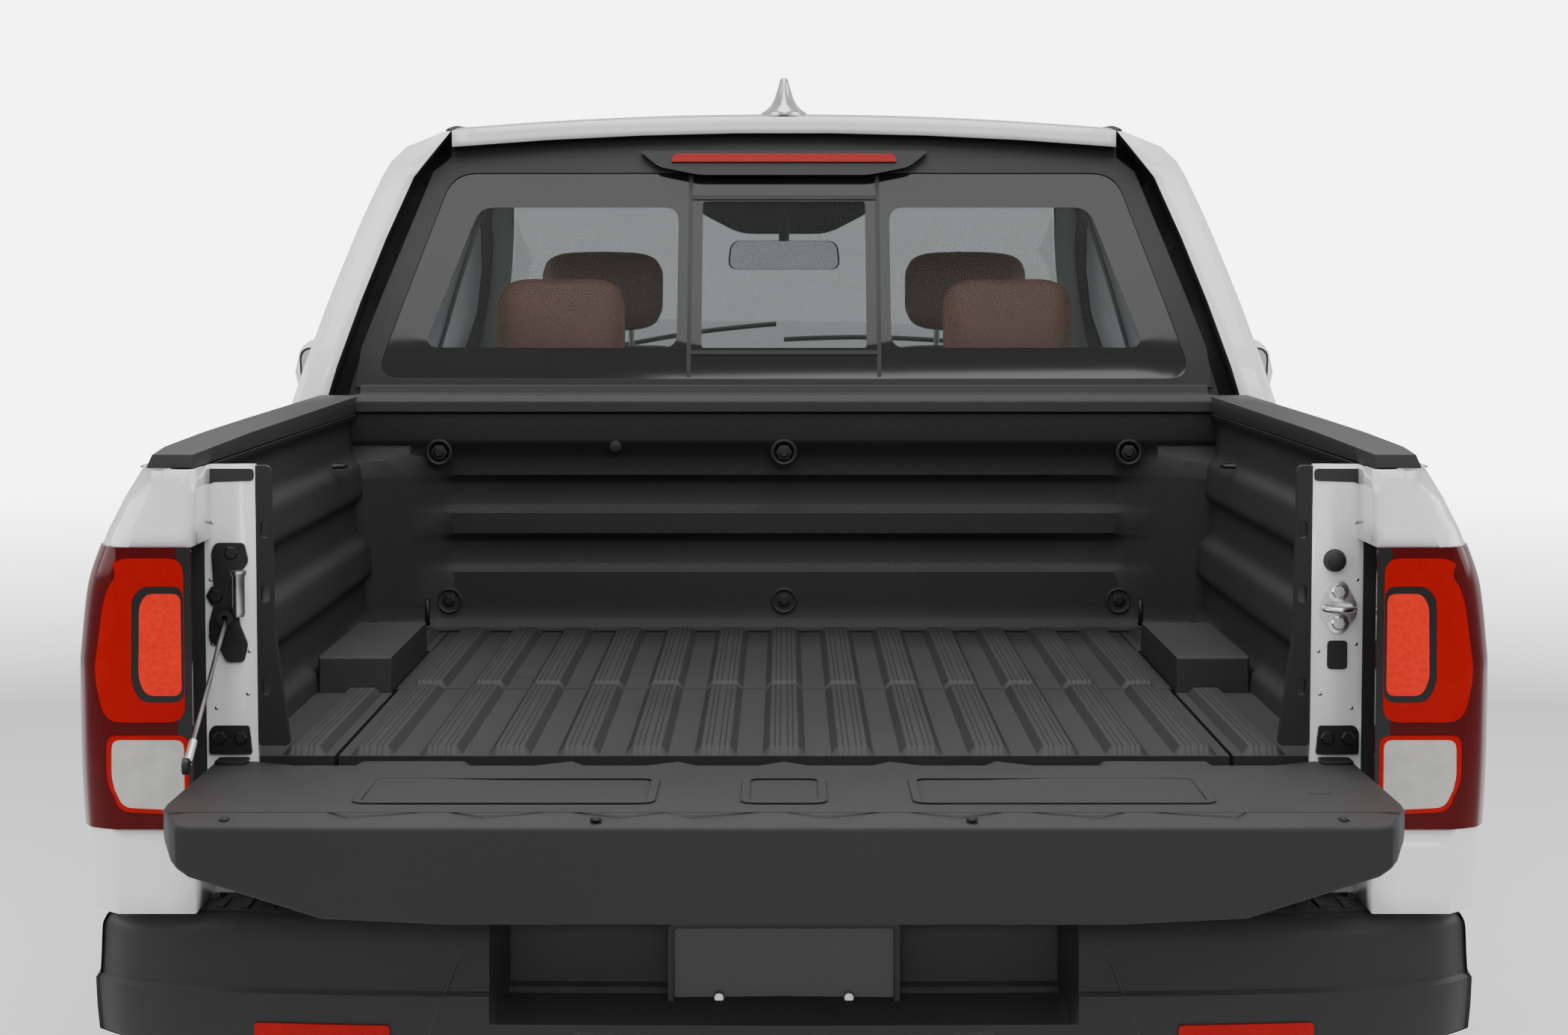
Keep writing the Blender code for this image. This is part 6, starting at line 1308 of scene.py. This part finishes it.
thread = made_of("seat_thread", (0.30, 0.22, 0.16), (0.42, 0.32, 0.24), 0.7, 0.05, grain=900.0)
for side, label in ((-1, "left"), (1, "right")):
    x = side * 0.380
    back = stuffed(f"front_seat_back_{label}", [(2.615, 0.60), (2.74, 0.62), (2.665, 1.00), (2.635, 1.33),
                                                (2.535, 1.335), (2.56, 0.95)], 0.225, x, leather)
    stuffed(f"front_seat_cushion_{label}", [(2.64, 0.42), (3.12, 0.42), (3.155, 0.62), (3.11, 0.685),
                                            (2.74, 0.63), (2.65, 0.60)], 0.228, x, leather)
    stuffed(f"front_headrest_{label}", [(2.545, 1.352), (2.62, 1.352), (2.632, 1.44), (2.612, 1.515),
                                        (2.56, 1.515), (2.548, 1.44)], 0.125, x, leather, tuck=0.022,
                                        clamp=0.008)
    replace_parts(back, f"front_seat_{label}")
    turned(f"front_headrest_posts_{label}", [(-0.03, 0.0001), (-0.03, 0.006), (0.04, 0.006), (0.04, 0.0001)],
           [(x - 0.06, 2.58, 1.335), (x + 0.06, 2.58, 1.335)], "z", satin_chrome)
    stuffed(f"rear_headrest_{label}", [(2.135, 1.275), (2.195, 1.275), (2.208, 1.36), (2.198, 1.462),
                                       (2.168, 1.462), (2.142, 1.38)], 0.125, side * 0.44, leather, tuck=0.018,
                                       clamp=0.006)
    turned(f"rear_headrest_posts_{label}", [(-0.03, 0.0001), (-0.03, 0.006), (0.04, 0.006), (0.04, 0.0001)],
           [(side * 0.44 - 0.06, 2.165, 1.26), (side * 0.44 + 0.06, 2.165, 1.26)], "z", satin_chrome)
    low = np.linspace(0.66, 1.28, 12)
    for k, offset in enumerate((-0.13, 0.13)):
        seam(f"front_seat_seam_{label}_{k}", np.column_stack([0 * low + x + offset,
            2.752 - 0.145 * (low - 0.62), low]), thread)
bench = stuffed("rear_seat_back", [(2.06, 0.60), (2.17, 0.63), (2.182, 1.0), (2.180, 1.255), (2.12, 1.27),
                                   (2.085, 1.0)], 0.600, 0.0, leather)
stuffed("rear_seat_cushion", [(2.13, 0.525), (2.52, 0.525), (2.565, 0.63), (2.51, 0.678), (2.20, 0.645),
                              (2.14, 0.63)], 0.600, 0.0, leather)
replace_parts(bench, "rear_bench")
soft_dash = made_of("soft_dash", (0.022, 0.021, 0.021), (0.034, 0.033, 0.032), 0.6, 0.06, patch=5.0,
                    grain=420.0, bump=0.5, relief="Pebble")
carry("dashboard", soft_dash, bevel=0.012)
screen = lens("dash_screen", (0.004, 0.004, 0.006), (0.008, 0.009, 0.012), (0.02, 0.05, 0.09), 0.15, bump=0.0)
on_dash = lambda a, b, lift: (a, 3.452 - lift + (b - 0.98) * 0.25, b)
plate("dash_screen_panel", rounded([(-0.10, 0.92), (0.10, 0.92), (0.10, 1.035), (-0.10, 1.035)], 0.01), on_dash,
      0.008, screen, bevel=0.002)
plate("instrument_panel", rounded([(-0.52, 0.99), (-0.24, 0.99), (-0.26, 1.05), (-0.50, 1.05)], 0.02), lambda a,
      b, lift: (a, 3.475 - lift, b), 0.006, screen, bevel=0.002)
carry("steering_wheel", soft_dash, "steering_wheel", bevel=0.002)
lining = made_of("headliner", (0.30, 0.29, 0.27), (0.38, 0.37, 0.35), 0.9, 0.04, patch=6.0, grain=700.0,
                 bump=0.4, relief="Pebble")
outline = [(-0.60, 2.25), (0.60, 2.25), (0.60, 3.20), (-0.60, 3.20)]
plate("headliner", rounded(outline, 0.05), lambda a, b, lift: (a, b, roof_top(a, b) - 0.040 - lift), 0.004,
      lining, step=0.08)
glass_shape = rounded([(-0.125, 1.480), (0.125, 1.480), (0.118, 1.543), (-0.118, 1.543)], 0.022, 6)
on_inner = lambda a, b, lift: (a, 3.20 - lift, b)
plate("inner_mirror_case", glass_shape * 1.03 - (0, 1.5115 * 0.03), on_inner, 0.016, soft_dash, bevel=0.004)
plate("inner_mirror_glass", glass_shape, lambda a, b, lift: (a, 3.184 - lift, b), 0.001, mirror_silver)
tube("inner_mirror_stalk", [(0, 3.215, 1.53), (0, 3.24, 1.60), (0, 3.255, 1.67)], 0.012, soft_dash, smooth=60)
visor = rounded([(-0.26, 1.690), (0.26, 1.690), (0.20, 1.612), (0.10, 1.560), (-0.10, 1.560), (-0.20, 1.612)],
                0.03, 5)
plate("mirror_shroud", visor, lambda a, b, lift: (a, 3.26 - lift, b), 0.01, soft_dash, bevel=0.003)
carry("cab_floor", chassis_steel, bevel=0.004)

# ---------------------------------------------------------------- underbody
# Cradle, rails, axle, engine and liners in dusty black steel, and the exhaust in bare steel.

for name in ("front_structure", "engine_block", "rear_rails", "rear_axle", "front_subframe"):
    carry(name, chassis_steel, bevel=0.004)
exhaust_steel = made_of("exhaust_steel", (0.18, 0.16, 0.14), (0.36, 0.34, 0.31), 0.45, 0.12, patch=7.0,
                        grain=200.0, Metallic=0.9)
carry("exhaust", exhaust_steel, smooth=50)
